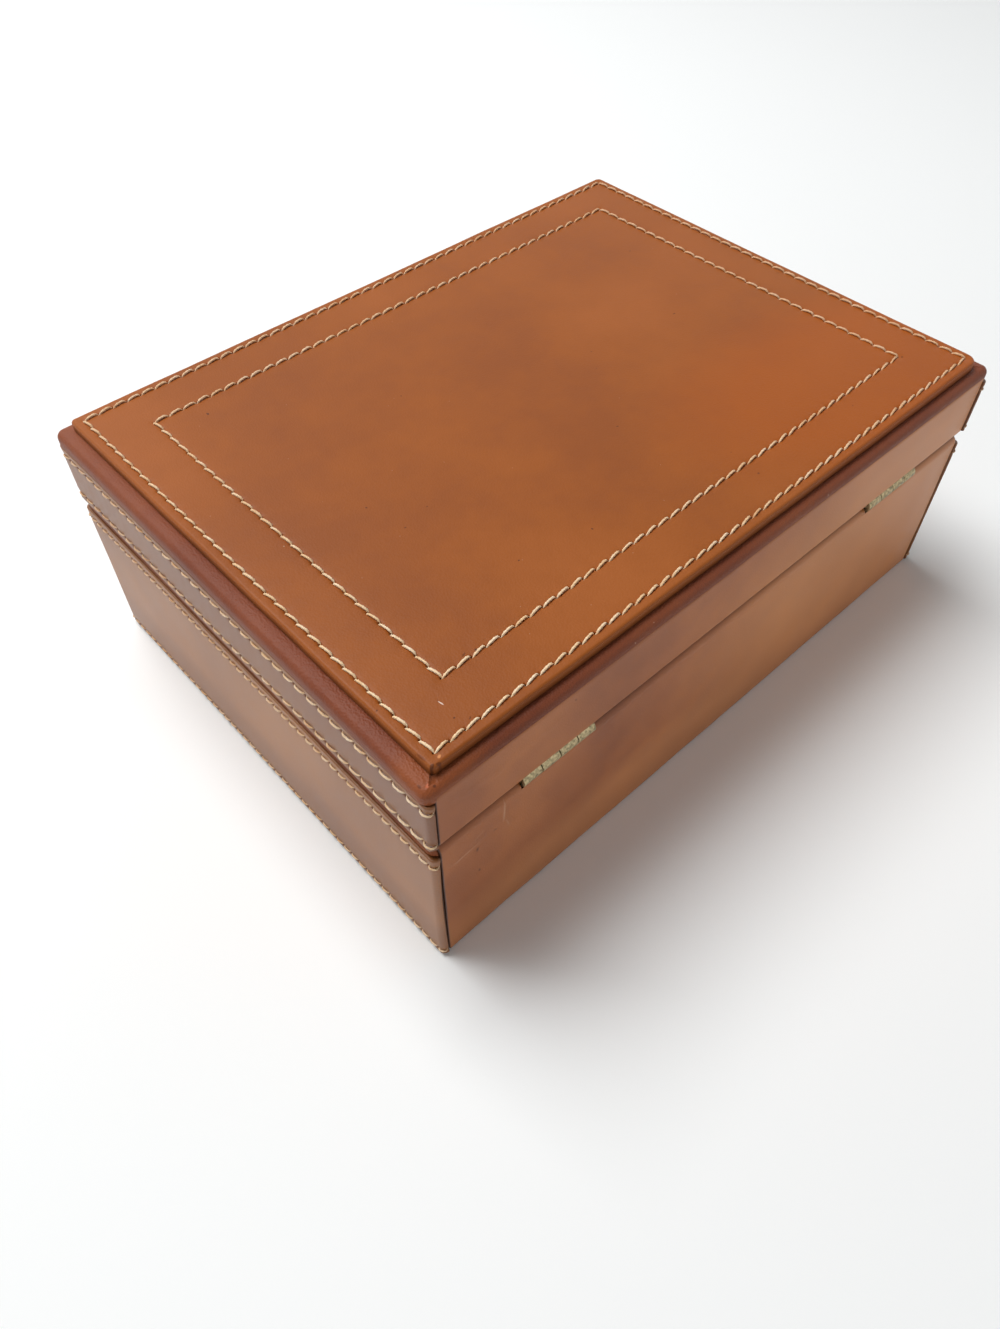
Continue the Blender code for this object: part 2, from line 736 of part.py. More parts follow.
def make_lock(materials, lid, bolt_body, key_body, keyhole, base_front, base_edge, lid_edge):
    """A mortise lock in the front wall: case, cover, sliding bolt, key and the lid's strike plate."""
    brass = materials["brass"]
    steel = materials["steel"]
    reach = lock_half
    mortise_low = (-reach - CLEARANCE, lock_front - CLEARANCE, lock_bottom - CLEARANCE)
    mortise_high = (reach + CLEARANCE, lock_back + CUT_PAST, PARTING_HEIGHT)
    cut(base_front, box_cutter("lock_mortise", mortise_low, mortise_high), keyhole)
    around = CLEARANCE
    for leather, name in ((base_edge, "lock_plate_recess"), (lid_edge, "strike_plate_recess")):
        low = (-plate_half - around, plate_front - around, PARTING_HEIGHT - COVER_LEATHER - CUT_PAST)
        high = (plate_half + around, lock_back + CUT_PAST, PARTING_HEIGHT + COVER_LEATHER + CUT_PAST)
        cut(leather, box_cutter(name, low, high))

    case = box(
        "lock_case",
        (-reach, lock_front, lock_bottom),
        (reach, plate_back, base_top - COVER_LEATHER / 2),
        steel,
    )
    top_low = (-plate_half, plate_front, base_top - COVER_LEATHER)
    top_high = (plate_half, plate_back, base_top)
    join(case, box_cutter("lock_top_plate", top_low, top_high))
    hollow_low = (-reach + LOCK_SHEET, lock_front + LOCK_SHEET, lock_bottom + LOCK_SHEET)
    hollow_high = (reach - LOCK_SHEET, plate_back + CUT_PAST, lock_ceiling)
    cut(case, box_cutter("lock_hollow", hollow_low, hollow_high), keyhole)
    for number, left in enumerate(tongue_lefts):
        low = (left - TONGUE_PLAY, bolt_front - CLEARANCE, lock_ceiling - CUT_PAST / 2)
        high = (left + TONGUE_WIDTH + TONGUE_PLAY, bolt_back + TONGUE_PLAY, base_top + CUT_PAST)
        cut(case, box_cutter(f"tongue_slot_{number}", low, high))
    cover_low = (-reach, lock_back - LOCK_COVER, lock_bottom)
    cover_high = (reach, lock_back, base_top - COVER_LEATHER - CLEARANCE)
    box("lock_cover_plate", cover_low, cover_high, steel)

    mesh = rod_mesh("escutcheon", ESCUTCHEON_RADIUS, ESCUTCHEON_THICKNESS, sides=ESCUTCHEON_SIDES)
    place = (0, -half_depth - CLEARANCE - ESCUTCHEON_THICKNESS / 2, key_height)
    escutcheon = add_object("keyhole_escutcheon", mesh, place, brass, None)
    escutcheon.rotation_euler = TURN_TO_Y
    round_edges(escutcheon, ESCUTCHEON_THICKNESS / 3)
    cut(escutcheon, keyhole)

    strike_low = (-plate_half, plate_front, lid_bottom)
    strike_high = (plate_half, plate_back, lid_bottom + COVER_LEATHER)
    strike = box("strike_plate", strike_low, strike_high, brass, lid)
    for number, left in enumerate(tongue_lefts):
        low = (left, bolt_front, tongue_bottom)
        high = (left + TONGUE_WIDTH, bolt_back, lid_bottom + COVER_LEATHER / 2)
        join(strike, box_cutter(f"tongue_{number}", low, high))
        low = (left - CUT_PAST, bolt_front - CUT_PAST, notch_bottom)
        high = (left + TONGUE_WIDTH - TONGUE_SPINE, bolt_back + CUT_PAST, notch_top)
        cut(strike, box_cutter(f"tongue_notch_{number}", low, high))

    outline = bolt_outline()
    plate("lock_bolt", outline, bolt_front, bolt_back, "XZ", steel, bolt_body)
    make_key(brass, key_body)


def bolt_outline():
    """The bolt, unlocked: a bar with two noses above it and two fingers for the key below."""
    nose_tips = [left - NOSE_REST_GAP for left in tongue_lefts]
    post_rights = [left - TONGUE_PLAY - BOLT_TRAVEL for left in tongue_lefts]
    bar_left = post_rights[0] - BOLT_POST
    notch_centre = -BOLT_TRAVEL / 2
    finger_bottom = bolt_bar_bottom - BOLT_FINGER_DROP
    bar_right = notch_centre + BOLT_NOTCH / 2 + BOLT_FINGER + BOLT_TRAVEL
    points = [(bar_left, bolt_bar_bottom)]
    for side in (-1, 1):
        near = notch_centre + side * BOLT_NOTCH / 2
        far = near + side * BOLT_FINGER
        left, right = min(near, far), max(near, far)
        points += [(left, bolt_bar_bottom), (left, finger_bottom)]
        points += [(right, finger_bottom), (right, bolt_bar_bottom)]
    points += [(bar_right, bolt_bar_bottom), (bar_right, bolt_bar_top)]
    for tip, post in zip(reversed(nose_tips), reversed(post_rights)):
        points += [(post, bolt_bar_top), (post, nose_bottom), (tip, nose_bottom), (tip, nose_top)]
        points.append((post - BOLT_POST, nose_top))
        if post is not post_rights[0]:
            points.append((post - BOLT_POST, bolt_bar_top))
    return points


def make_key(material, body):
    """The key, a quarter of its turn before the locked position: shank, bit and ring-shaped bow."""
    inner_end = plate_back - CLEARANCE - LOCK_SHEET
    face = -half_depth - CLEARANCE - ESCUTCHEON_THICKNESS
    outer_end = face - KEY_OUTSIDE
    mesh = rod_mesh("key", KEY_SHANK_RADIUS, inner_end - outer_end)
    key = add_object("key", mesh, (0, (inner_end + outer_end) / 2, key_height), material, body)
    key.rotation_euler = TURN_TO_Y
    lean = -QUARTER_TURN / 2
    bit_mesh = box_mesh("key_bit", (KEY_BIT_WIDTH, BOLT_THICKNESS, KEY_BIT_REACH))
    reach = Vector((math.sin(lean), 0, math.cos(lean))) * (KEY_BIT_REACH / 2)
    bit_place = Vector((0, (bolt_front + bolt_back) / 2, key_height)) + reach
    bit = add_cutter("key_bit", bit_mesh, bit_place, (0, lean, 0))
    bow_centre = outer_end - KEY_BOW_RADIUS + KEY_BOW_WIRE / 2
    bow_path = []
    for i in range(BOW_SIDES):
        angle = 2 * math.pi * i / BOW_SIDES
        across = KEY_BOW_RADIUS * math.cos(angle)
        bow_path.append(
            (
                across * math.sin(lean),
                bow_centre + KEY_BOW_RADIUS * math.sin(angle),
                key_height + across * math.cos(lean),
            )
        )
    bow = add_cutter("key_bow", tube_mesh("key_bow", bow_path, KEY_BOW_WIRE, True), (0, 0, 0))
    collar_mesh = rod_mesh("key_collar", KEY_COLLAR_RADIUS, KEY_COLLAR_LENGTH)
    collar_place = (0, outer_end + KEY_BOW_WIRE + KEY_COLLAR_LENGTH / 2, key_height)
    collar = add_cutter("key_collar", collar_mesh, collar_place, TURN_TO_Y)
    join(key, bit, bow, collar)
    return key


def make_base_leather(materials, cutters, keyhole):
    leather = materials["leather"]
    band = plate(
        "base_band_leather",
        strip_outline(0, BAND_LEATHER),
        BAND_FOOT,
        base_band_top,
        "XY",
        leather,
    )
    thread = materials["thread"]
    band_seam("base_band_upper_thread", base_band_top - BASE_UPPER_ROW, band, thread, None)
    band_seam("base_band_lower_thread", BAND_FOOT + BASE_LOWER_ROW, band, thread, None)
    cut(band, keyhole)

    centre = cover_inset + PARTING_ROUND
    rows = [(shell_path(cover_inset), base_band_top + CLEARANCE)]
    for turn, rise in arc(0, 0, PARTING_ROUND, 0, 90):
        rows.append((shell_path(centre - turn), base_top - PARTING_ROUND + rise))
    rows.append((shell_path(inner_inset), base_top))
    rows = [rows[0]] + [row for row in rows[1:] if row[1] > rows[0][1] + CLEARANCE / 10]
    edge = skin("base_edge_leather", rows, False, COVER_LEATHER, leather, None)
    cut(edge, cutters["hinge_side"])

    end_x = return_x - BAND_GAP
    outer = half_depth - back_inset
    profile = rolled_profile(outer, half_depth - inner_inset, BAND_FOOT, base_top, -1)
    back = plate("base_back_leather", profile, -end_x, end_x, "YZ", leather)
    combine(back, cutters["back_share"], "INTERSECT")
    for side_name in ("left", "right"):
        cut(back, cutters[side_name + "_barrel"], cutters[side_name + "_leaf"])
    return edge


def make_lid_leather(materials, cutters, lid):
    leather = materials["leather"]
    thread = materials["thread"]
    band = plate(
        "lid_band_leather",
        strip_outline(0, BAND_LEATHER),
        lid_band_bottom,
        lid_band_top,
        "XY",
        leather,
        lid,
    )
    cut(band, cutters["relief"])
    band_seam("lid_band_upper_thread", lid_band_top - LID_UPPER_ROW, band, thread, lid)
    band_seam("lid_band_lower_thread", lid_band_bottom + LID_LOWER_ROW, band, thread, lid)

    edge = plate(
        "lid_edge_leather",
        shell_path(board_inset),
        lid_bottom,
        lid_bottom + COVER_LEATHER,
        "XY",
        leather,
        lid,
    )
    cut(edge, cutters["room"], cutters["hinge_side"])

    end_x = return_x - BAND_GAP
    outer = half_depth - back_inset
    profile = rolled_profile(outer, half_depth - inner_inset, lid_band_top, lid_bottom, 1)
    back = plate("lid_back_leather", profile, -end_x, end_x, "YZ", leather, lid)
    combine(back, cutters["back_share"], "INTERSECT")
    for side_name in ("left", "right"):
        cut(back, cutters[side_name + "_barrel"], cutters[side_name + "_leaf"])

    rows = [(shell_path(cap_inset), cap_bottom)]
    for turn, rise in arc(0, 0, rim_round, 0, 90):
        if rim_start + rise > cap_bottom:
            rows.append((shell_path(cap_inset + rim_round - turn), rim_start + rise))
    smooth(skin("lid_cap_leather", rows, True, CAP_LEATHER, leather, lid))
    make_plaque(materials, lid)
    return edge


def plaque_outline(inset):
    return rounded_rectangle(
        half_length - PLAQUE_END_MARGIN - inset,
        half_depth - PLAQUE_SIDE_MARGIN - inset,
        PLAQUE_CORNER - inset,
    )


def make_plaque(materials, lid):
    """The raised panel: leather turned over a board, with two stitched rows on top."""
    rows = []
    for turn, rise in arc(0, 0, PLAQUE_FOOT_ROUND, -90, 0, PLAQUE_FOOT_STEPS):
        inset = PLAQUE_FOOT_ROUND - turn
        rows.append((plaque_outline(inset), plaque_foot + PLAQUE_FOOT_ROUND + rise))
    for turn, rise in arc(0, 0, PLAQUE_ROUND, 0, 90, PLAQUE_EDGE_STEPS):
        inset = PLAQUE_ROUND - turn
        rows.append((plaque_outline(inset), plaque_top - PLAQUE_ROUND + rise))
    plaque = add_object("lid_plaque", loft_mesh("lid_plaque", rows), (0, 0, 0), materials["leather"], lid)
    smooth(plaque)
    thread = materials["thread"]
    plaque_seam("plaque_outer_thread", OUTER_ROW_INSET, plaque, thread, lid)
    plaque_seam("plaque_inner_thread", INNER_ROW_INSET, plaque, thread, lid)


def make_inside(materials, lid):
    wood = materials["wood"]
    suede = materials["suede"]
    plate(
        "base_underside_cover",
        shell_path(board_inset),
        0.0,
        UNDERSIDE_COVER,
        "XY",
        materials["felt"],
    )
    floor_x = half_length - inner_inset - CLEARANCE
    floor_y = half_depth - inner_inset - CLEARANCE
    box("base_floor_board", (-floor_x, -floor_y, board_bottom), (floor_x, floor_y, floor_top), wood)
    room_x = half_length - room_inset
    room_y = half_depth - room_inset
    pad_x = room_x - CLEARANCE
    pad_y = room_y - CLEARANCE
    pad_bottom = floor_top + CLEARANCE
    box(
        "base_floor_lining",
        (-pad_x, -pad_y, pad_bottom),
        (pad_x, pad_y, floor_lining_top),
        suede,
        edge=BOARD_EDGE,
    )
    make_lining_ring("base_wall_lining", pad_bottom, base_top - CLEARANCE, suede, None)
    for name, side in (("left", -1), ("right", 1)):
        outer = side * pad_x
        inner = side * (pad_x - LEDGE_THICKNESS)
        low = (min(outer, inner), -pad_y, floor_lining_top + CLEARANCE)
        high = (max(outer, inner), pad_y, floor_lining_top + CLEARANCE + LEDGE_HEIGHT)
        box(name + "_tray_ledge", low, high, suede, edge=BOARD_EDGE)

    top_bottom = lid_board_top - TOP_BOARD
    box("lid_top_board", (-floor_x, -floor_y, top_bottom), (floor_x, floor_y, lid_board_top), wood, lid)
    pad_top = top_bottom - CLEARANCE
    make_lining_ring("lid_wall_lining", lid_bottom + CLEARANCE, pad_top, suede, lid)
    pad = box("lid_top_pad", (-pad_x, -pad_y, pad_top - LID_PAD), (pad_x, pad_y, pad_top), suede, lid)
    round_edges(pad, LID_PAD_ROUND, 2)


def ring_pad_outline(low_y, high_y, bottom):
    """A flat base with a row of half-round rolls on it."""
    roll_radius = (high_y - low_y) / RING_ROLLS / 2
    points = [(low_y, bottom)]
    points.append((high_y, bottom))
    for roll in reversed(range(RING_ROLLS)):
        centre_y = low_y + roll_radius * (2 * roll + 1)
        points += arc(centre_y, bottom + RING_PAD_BASE, roll_radius, 0, 180, ROLL_STEPS)[:-1]
    points.append((low_y, bottom + RING_PAD_BASE))
    return points


def make_tray(materials, tray):
    """The lift-out tray: it stands on two ledges and has a ring pad in front and two bays behind."""
    suede = materials["suede"]
    bottom = floor_lining_top + CLEARANCE + LEDGE_HEIGHT + CLEARANCE
    half_x = half_length - room_inset - TRAY_PLAY
    half_y = half_depth - room_inset - TRAY_PLAY
    floor = bottom + TRAY_FLOOR
    wall_bottom = floor + CLEARANCE
    wall_top = wall_bottom + TRAY_WALL_HEIGHT
    divider_top = wall_top - TRAY_DIVIDER_DROP
    box("tray_floor", (-half_x, -half_y, bottom), (half_x, half_y, floor), suede, tray, BOARD_EDGE)
    inside_x = half_x - TRAY_WALL - CLEARANCE
    inside_y = half_y - TRAY_WALL - CLEARANCE
    for name, side in (("front", -1), ("back", 1)):
        faces = sorted((side * half_y, side * (half_y - TRAY_WALL)))
        low = (-half_x, faces[0], wall_bottom)
        high = (half_x, faces[1], wall_top)
        box(f"tray_{name}_wall", low, high, suede, tray, BOARD_EDGE)
    for name, side in (("left", -1), ("right", 1)):
        faces = sorted((side * half_x, side * (half_x - TRAY_WALL)))
        low = (faces[0], -inside_y, wall_bottom)
        high = (faces[1], inside_y, wall_top)
        box(f"tray_{name}_wall", low, high, suede, tray, BOARD_EDGE)

    divider_y = -inside_y + TRAY_FRONT_COMPARTMENT
    low = (-inside_x, divider_y, wall_bottom)
    high = (inside_x, divider_y + TRAY_WALL, divider_top)
    box("tray_long_divider", low, high, suede, tray, BOARD_EDGE)
    divider_x = -inside_x + TRAY_LEFT_COMPARTMENT
    low = (divider_x, divider_y + TRAY_WALL + CLEARANCE, wall_bottom)
    high = (divider_x + TRAY_WALL, inside_y, divider_top)
    box("tray_cross_divider", low, high, suede, tray, BOARD_EDGE)
    outline = ring_pad_outline(-inside_y, divider_y - CLEARANCE, wall_bottom)
    pad = plate("ring_pad", outline, -inside_x, inside_x, "YZ", suede, tray)
    smooth(pad)


def main():
    clear_scene()
    materials = {
        "leather": make_material("saddle_leather", (0.37, 0.115, 0.035), 0.45),
        "thread": make_material("waxed_thread", (0.80, 0.62, 0.38), 0.7),
        "brass": make_material("aged_brass", (0.45, 0.32, 0.15), 0.4, 1.0),
        "steel": make_material("lock_steel", (0.45, 0.43, 0.40), 0.4, 1.0),
        "wood": make_material("poplar", (0.55, 0.40, 0.24), 0.6),
        "suede": make_material("tan_suede", (0.45, 0.27, 0.14), 0.9),
        "felt": make_material("brown_felt", (0.12, 0.06, 0.03), 0.95),
    }
    lid = add_empty("lid_pivot", (0, hinge_y, PARTING_HEIGHT))
    tray = add_empty("tray_lift", (0, 0, 0))
    bolt_body = add_empty("bolt_slide", (0, bolt_front, bolt_bar_bottom))
    key_body = add_empty("key_pivot", (0, -half_depth, key_height))
    bpy.context.view_layer.update()

    cutters = make_cutters()
    keyhole = make_keyhole()
    wood = materials["wood"]
    back_gap = BACK_LEATHER + CLEARANCE
    base_heights = (board_bottom, base_top)
    base_back = (board_bottom, base_top - back_gap)
    base = make_boards("base", base_stock(), base_heights, base_back, wood, None, cutters)
    lid_heights = (lid_bottom, RIM_HEIGHT)
    lid_back = (lid_bottom + back_gap, RIM_HEIGHT)
    make_boards("lid", lid_stock(), lid_heights, lid_back, wood, lid, cutters)
    base_edge = make_base_leather(materials, cutters, keyhole)
    lid_edge = make_lid_leather(materials, cutters, lid)
    make_hinges(materials, lid)
    make_lock(materials, lid, bolt_body, key_body, keyhole, base["front"], base_edge, lid_edge)
    make_inside(materials, lid)
    make_tray(materials, tray)
    print(len(parts.objects), "pieces")


main()
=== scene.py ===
# %% [markdown]
# # A leather-covered jewellery box
# The box is a wooden carcass covered in saddle leather. Bands of thick leather go round the front and
# both ends, a thinner sheet covers the hinge side, and a raised panel lies on the lid. Every edge of the
# bands and the panel is saddle-stitched in cream waxed thread. A solid model with the true sizes and
# joints is loaded first, and everything below is fitted over it.

# %% Load the solid model
import math

import bmesh
import bpy
from mathutils import Matrix, Vector, noise


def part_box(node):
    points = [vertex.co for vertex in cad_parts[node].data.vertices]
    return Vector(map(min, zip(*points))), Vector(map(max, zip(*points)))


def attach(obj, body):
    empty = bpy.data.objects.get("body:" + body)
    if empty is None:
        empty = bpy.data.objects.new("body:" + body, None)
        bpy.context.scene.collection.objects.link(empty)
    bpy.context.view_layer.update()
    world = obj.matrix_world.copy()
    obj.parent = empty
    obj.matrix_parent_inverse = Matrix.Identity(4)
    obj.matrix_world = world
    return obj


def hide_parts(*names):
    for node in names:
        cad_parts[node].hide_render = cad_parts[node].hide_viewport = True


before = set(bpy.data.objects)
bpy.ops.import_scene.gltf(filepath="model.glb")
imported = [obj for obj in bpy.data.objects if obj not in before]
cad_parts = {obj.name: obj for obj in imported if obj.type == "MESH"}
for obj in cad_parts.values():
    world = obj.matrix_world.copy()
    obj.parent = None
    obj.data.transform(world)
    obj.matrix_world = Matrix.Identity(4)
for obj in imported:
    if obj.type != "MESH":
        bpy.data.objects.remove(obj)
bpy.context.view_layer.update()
MM = 0.001
print(len(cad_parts), "solid pieces")

# %% [markdown]
# ## Where the camera stands
# A camera held close to a small box shows strong perspective: the near corner is much larger than the
# far one. The place and lens were worked out from the box's own edges, so they are set once, before
# any modelling.

# %% Camera
CAMERA_PLACE = Vector((0.1841, 0.1819, 0.2743))
CAMERA_LOOKS = Vector((-0.4248, -0.4610, -0.7791))
LENS_MM = 26.615

camera = bpy.data.objects.new("camera", bpy.data.cameras.new("camera"))
camera.data.lens = LENS_MM
camera.data.clip_start = 0.01
camera.location = CAMERA_PLACE
camera.rotation_euler = CAMERA_LOOKS.to_track_quat("-Z", "Y").to_euler()
bpy.context.scene.collection.objects.link(camera)
bpy.context.scene.camera = camera
bpy.context.scene.view_settings.view_transform = "Standard"
print("camera", round(CAMERA_PLACE.length, 3), "m from the middle of the underside")

# %% [markdown]
# ## Colours and material nodes
# A colour seen on a screen is an sRGB value, and a shader wants a linear one, so one function turns
# hex into linear. A second small function adds any node with its settings and links, so a material
# reads like a recipe, one node a line. All patterns read Object coordinates in metres, so a grain of
# half a millimetre has a scale of 1 / 0.0005.

# %% Colour and node helpers
NOISE = "ShaderNodeTexNoise"
RAMP = "ShaderNodeValToRGB"
MIX = "ShaderNodeMix"
MATH = "ShaderNodeMath"
VECTOR_MATH = "ShaderNodeVectorMath"
MAP_RANGE = "ShaderNodeMapRange"
BUMP = "ShaderNodeBump"


def linear(code):
    """An sRGB hex colour as linear RGBA."""
    channels = [int(code[i : i + 2], 16) / 255 for i in (1, 3, 5)]
    return (*[c / 12.92 if c <= 0.04045 else ((c + 0.055) / 1.055) ** 2.4 for c in channels], 1.0)


def feed(tree, node, values):
    """Fills sockets with numbers, hex colours, outputs, or nodes, which stand for their first output."""
    for socket, value in values.items():
        if isinstance(value, bpy.types.Node):
            value = value.outputs[0]
        if isinstance(value, bpy.types.NodeSocket):
            tree.links.new(value, node.inputs[socket])
        else:
            node.inputs[socket].default_value = linear(value) if isinstance(value, str) else value


def add(tree, kind, *values, stops=(), **settings):
    """Adds a node. Its values fill the sockets in order, or by name or number in a dictionary.

    The stops of a colour ramp are (position, hex colour or grey level).
    """
    node = tree.nodes.new(kind)
    for name, setting in settings.items():
        setattr(node, name, setting)
    for number, value in enumerate(values):
        feed(tree, node, value if isinstance(value, dict) else {number: value})
    elements = node.color_ramp.elements if stops else []
    while len(elements) < len(stops):
        elements.new(0.5)
    for element, (position, colour) in zip(elements, stops):
        element.position = position
        element.color = linear(colour) if isinstance(colour, str) else (colour, colour, colour, 1.0)
    return node


def per_mm(millimetres):
    """A texture scale at which one cell of the pattern is about this wide."""
    return 1.0 / (millimetres * MM)


def new_material(name, values):
    """A material whose even values are set on its shader's own sockets."""
    material = bpy.data.materials.new(name)
    material.use_nodes = True
    shader = material.node_tree.nodes["Principled BSDF"]
    feed(material.node_tree, shader, values)
    return material, material.node_tree, shader


def stained(tree, colour, pattern, stops, tint):
    """The colour with a tint over it, as strong as the stops say for the pattern's value.

    A colour's Mix node has its factor at socket 0, its two colours at 6 and 7, and its result at output 2.
    """
    share = add(tree, RAMP, pattern, stops=stops)
    return add(tree, MIX, {0: share, 6: colour, 7: tint}, data_type="RGBA").outputs[2]


print("a grain of half a millimetre has a scale of", per_mm(0.5))

# %% [markdown]
# ## Pieces and their meshes
# Every piece ends as one object at the origin with its place in its mesh, so that patterns on Object
# coordinates stay where they belong. A shape is built as a bmesh, or by modifiers whose result is read
# back as a plain mesh. Holes and recesses are cut with plain blocks and rods, as a maker would mill or
# drill them, and a cutter needs no detail of its own.


# %% Showing and keeping a piece
def show(name, mesh, material=None):
    """A finished piece: an object at the origin with its place in its mesh."""
    mesh.name = name
    obj = bpy.data.objects.new(name, mesh)
    bpy.context.scene.collection.objects.link(obj)
    if material is not None:
        mesh.materials.clear()
        mesh.materials.append(material)
    return obj


def built(name, bm, material=None, smooth=False):
    """A piece from a bmesh, which is freed."""
    mesh = bpy.data.meshes.new(name)
    bm.to_mesh(mesh)
    bm.free()
    if smooth:
        mesh.shade_smooth()
    return show(name, mesh, material)


def kept_mesh(obj):
    """The object's shape with its modifiers as a plain mesh; the object is removed."""
    bpy.context.view_layer.update()
    graph = bpy.context.evaluated_depsgraph_get()
    mesh = bpy.data.meshes.new_from_object(obj.evaluated_get(graph))
    bpy.data.objects.remove(obj, do_unlink=True)
    return mesh


def applied(piece):
    """The piece with its modifiers applied, under its own name and material."""
    name = piece.name
    material = piece.data.materials[0] if piece.data.materials else None
    return show(name, kept_mesh(piece), material)


# %% Plain solids to cut with
def block(name, low, high):
    """A plain box between two corners."""
    bm = bmesh.new()
    bmesh.ops.create_cube(bm, size=1.0)
    bmesh.ops.scale(bm, vec=[b - a for a, b in zip(low, high)], verts=bm.verts)
    bmesh.ops.translate(bm, vec=[(a + b) / 2 for a, b in zip(low, high)], verts=bm.verts)
    return built(name, bm)


def rod(name, centre, radius, length, axis, sides=40, end_radius=None):
    """A plain round bar or cone along X, Y or Z."""
    bm = bmesh.new()
    far = radius if end_radius is None else end_radius
    bmesh.ops.create_cone(bm, cap_ends=True, segments=sides, radius1=radius, radius2=far, depth=length)
    turn = Vector((0, 0, 1)).rotation_difference(Vector(axis)).to_matrix()
    bmesh.ops.rotate(bm, cent=(0, 0, 0), matrix=turn, verts=bm.verts)
    bmesh.ops.translate(bm, vec=centre, verts=bm.verts)
    return built(name, bm)


# %% Cutting and finishing
def combined(piece, others, operation):
    """The piece with other meshes cut away, joined or kept in common; the others are removed."""
    for other in others:
        modifier = piece.modifiers.new("shape", "BOOLEAN")
        modifier.operation = operation
        modifier.object = other
    piece = applied(piece)
    for other in others:
        bpy.data.objects.remove(other, do_unlink=True)
    return piece


def finish_piece(piece, nodes, body, material=None, cutters=()):
    """Cuts a piece, gives it its material, hangs it on its body and hides the solids it stands for."""
    if cutters:
        piece = combined(piece, cutters, "DIFFERENCE")
    if material is not None:
        piece.data.materials.clear()
        piece.data.materials.append(material)
    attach(piece, body)
    if nodes:
        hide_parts(*([nodes] if isinstance(nodes, str) else nodes))
    return piece


# %% [markdown]
# ## Floor, light and background
# The box stands on a plain white floor. One large soft lamp from the lock side gives the gentle shadow
# on the hinge side, and a pale world fills in the rest. The world glows near the horizon and is dim
# overhead, as white walls round a table are, so upright sides stay light while the floor beside the
# box goes dark. What the camera and reflections see of the world is plain white.

# %% Floor and lights
FLOOR_SIZE = 4.0
WORLD_HORIZON = 0.72
WORLD_ZENITH = 0.03
KEY_WATTS = 28.5
KEY_PLACE = Vector((0.24, -0.66, 1.54))
KEY_SIZE = 1.0
GLOW_POWER = 3.0
FLOOR_LIFT = 0.02


def seen_or_reflected(tree):
    """One where the camera looks, or where a reflection or clear material does."""
    path = add(tree, "ShaderNodeLightPath").outputs
    either = add(tree, MATH, path["Is Camera Ray"], path["Is Glossy Ray"], operation="MAXIMUM")
    return add(tree, MATH, either, path["Is Transmission Ray"], operation="MAXIMUM")


def make_floor():
    even = {"Roughness": 0.9, "Base Color": "#FAFCFC", "Emission Color": "#FFFFFF"}
    material, tree, shader = new_material("white_paper_backdrop", even)
    lift = add(tree, MATH, seen_or_reflected(tree), FLOOR_LIFT, operation="MULTIPLY")
    feed(tree, shader, {"Emission Strength": lift})
    bm = bmesh.new()
    bmesh.ops.create_grid(bm, x_segments=1, y_segments=1, size=FLOOR_SIZE / 2)
    built("floor", bm, material)


def make_world():
    """A world that glows near the horizon and is plain white to the eye and in reflections."""
    world = bpy.data.worlds.new("studio")
    world.use_nodes = True
    tree = world.node_tree
    looking = add(tree, "ShaderNodeTexCoord").outputs["Generated"]
    rise = add(tree, "ShaderNodeSeparateXYZ", looking).outputs["Z"]
    steep = add(tree, MATH, rise, rise, operation="MULTIPLY")
    level = add(tree, MATH, 1.0, steep, operation="SUBTRACT")
    glow = add(tree, MATH, level, GLOW_POWER, operation="POWER")
    soft = add(tree, MAP_RANGE, {"Value": glow, "To Min": WORLD_ZENITH, "To Max": WORLD_HORIZON})
    strength = add(tree, MATH, seen_or_reflected(tree), soft, operation="MAXIMUM")
    feed(tree, tree.nodes["Background"], {"Color": "#FFFFFF", "Strength": strength})
    bpy.context.scene.world = world


def make_lamp(name, place, size, watts):
    lamp = bpy.data.objects.new(name, bpy.data.lights.new(name, "AREA"))
    lamp.data.size = size
    lamp.data.energy = watts
    lamp.location = place
    lamp.rotation_euler = (-place).to_track_quat("-Z", "Y").to_euler()
    bpy.context.scene.collection.objects.link(lamp)


make_floor()
make_world()
make_lamp("key_lamp", KEY_PLACE, KEY_SIZE, KEY_WATTS)
print("floor, world and one lamp")

# %% [markdown]
# ## Leather
# Saddle leather is cowhide that was tanned with bark, dyed and then polished. What the eye gets is a
# warm brown that drifts between redder and yellower patches a few centimetres wide, a pore grain of
# about half a millimetre, a satin shine, and a few pale and dark specks from use. The four leathers of
# this box differ only in hue and polish, so one function makes them all. Its cut edges are dyed nearly
# black, and painted shade darkens the awl's holes, the panel's foot and the back beside the parting. The
# mesh carries both as one attribute, because they follow the seams and not the space around them.


# %% Saddle leather
DYE_AND_SHADE = "#1E0B07"
PALE_DUST = "#D8B49A"
DARK_SPOTS = "#3A1A10"
ENDLESS = 1.0


def mark_at(tree, place, centre_mm, half_mm, degrees=0.0, plane="XY"):
    """One inside a small oval mark on the leather, 0 outside; the mark is endless across its plane."""
    first, second = [size * MM for size in centre_mm]
    wide, tall = [size * MM for size in half_mm]
    if plane == "XY":
        where, turn, size = (first, second, 0.0), (0, 0, math.radians(degrees)), (wide, tall, ENDLESS)
    else:
        where, turn, size = (first, 0.0, second), (0, math.radians(-degrees), 0), (wide, ENDLESS, tall)
    values = {"Vector": place, "Location": where, "Rotation": turn, "Scale": size}
    near = add(tree, "ShaderNodeMapping", values, vector_type="TEXTURE")
    away = add(tree, VECTOR_MATH, near, operation="LENGTH").outputs["Value"]
    return add(tree, RAMP, away, stops=((0.55, 1.0), (1.0, 0.0)))


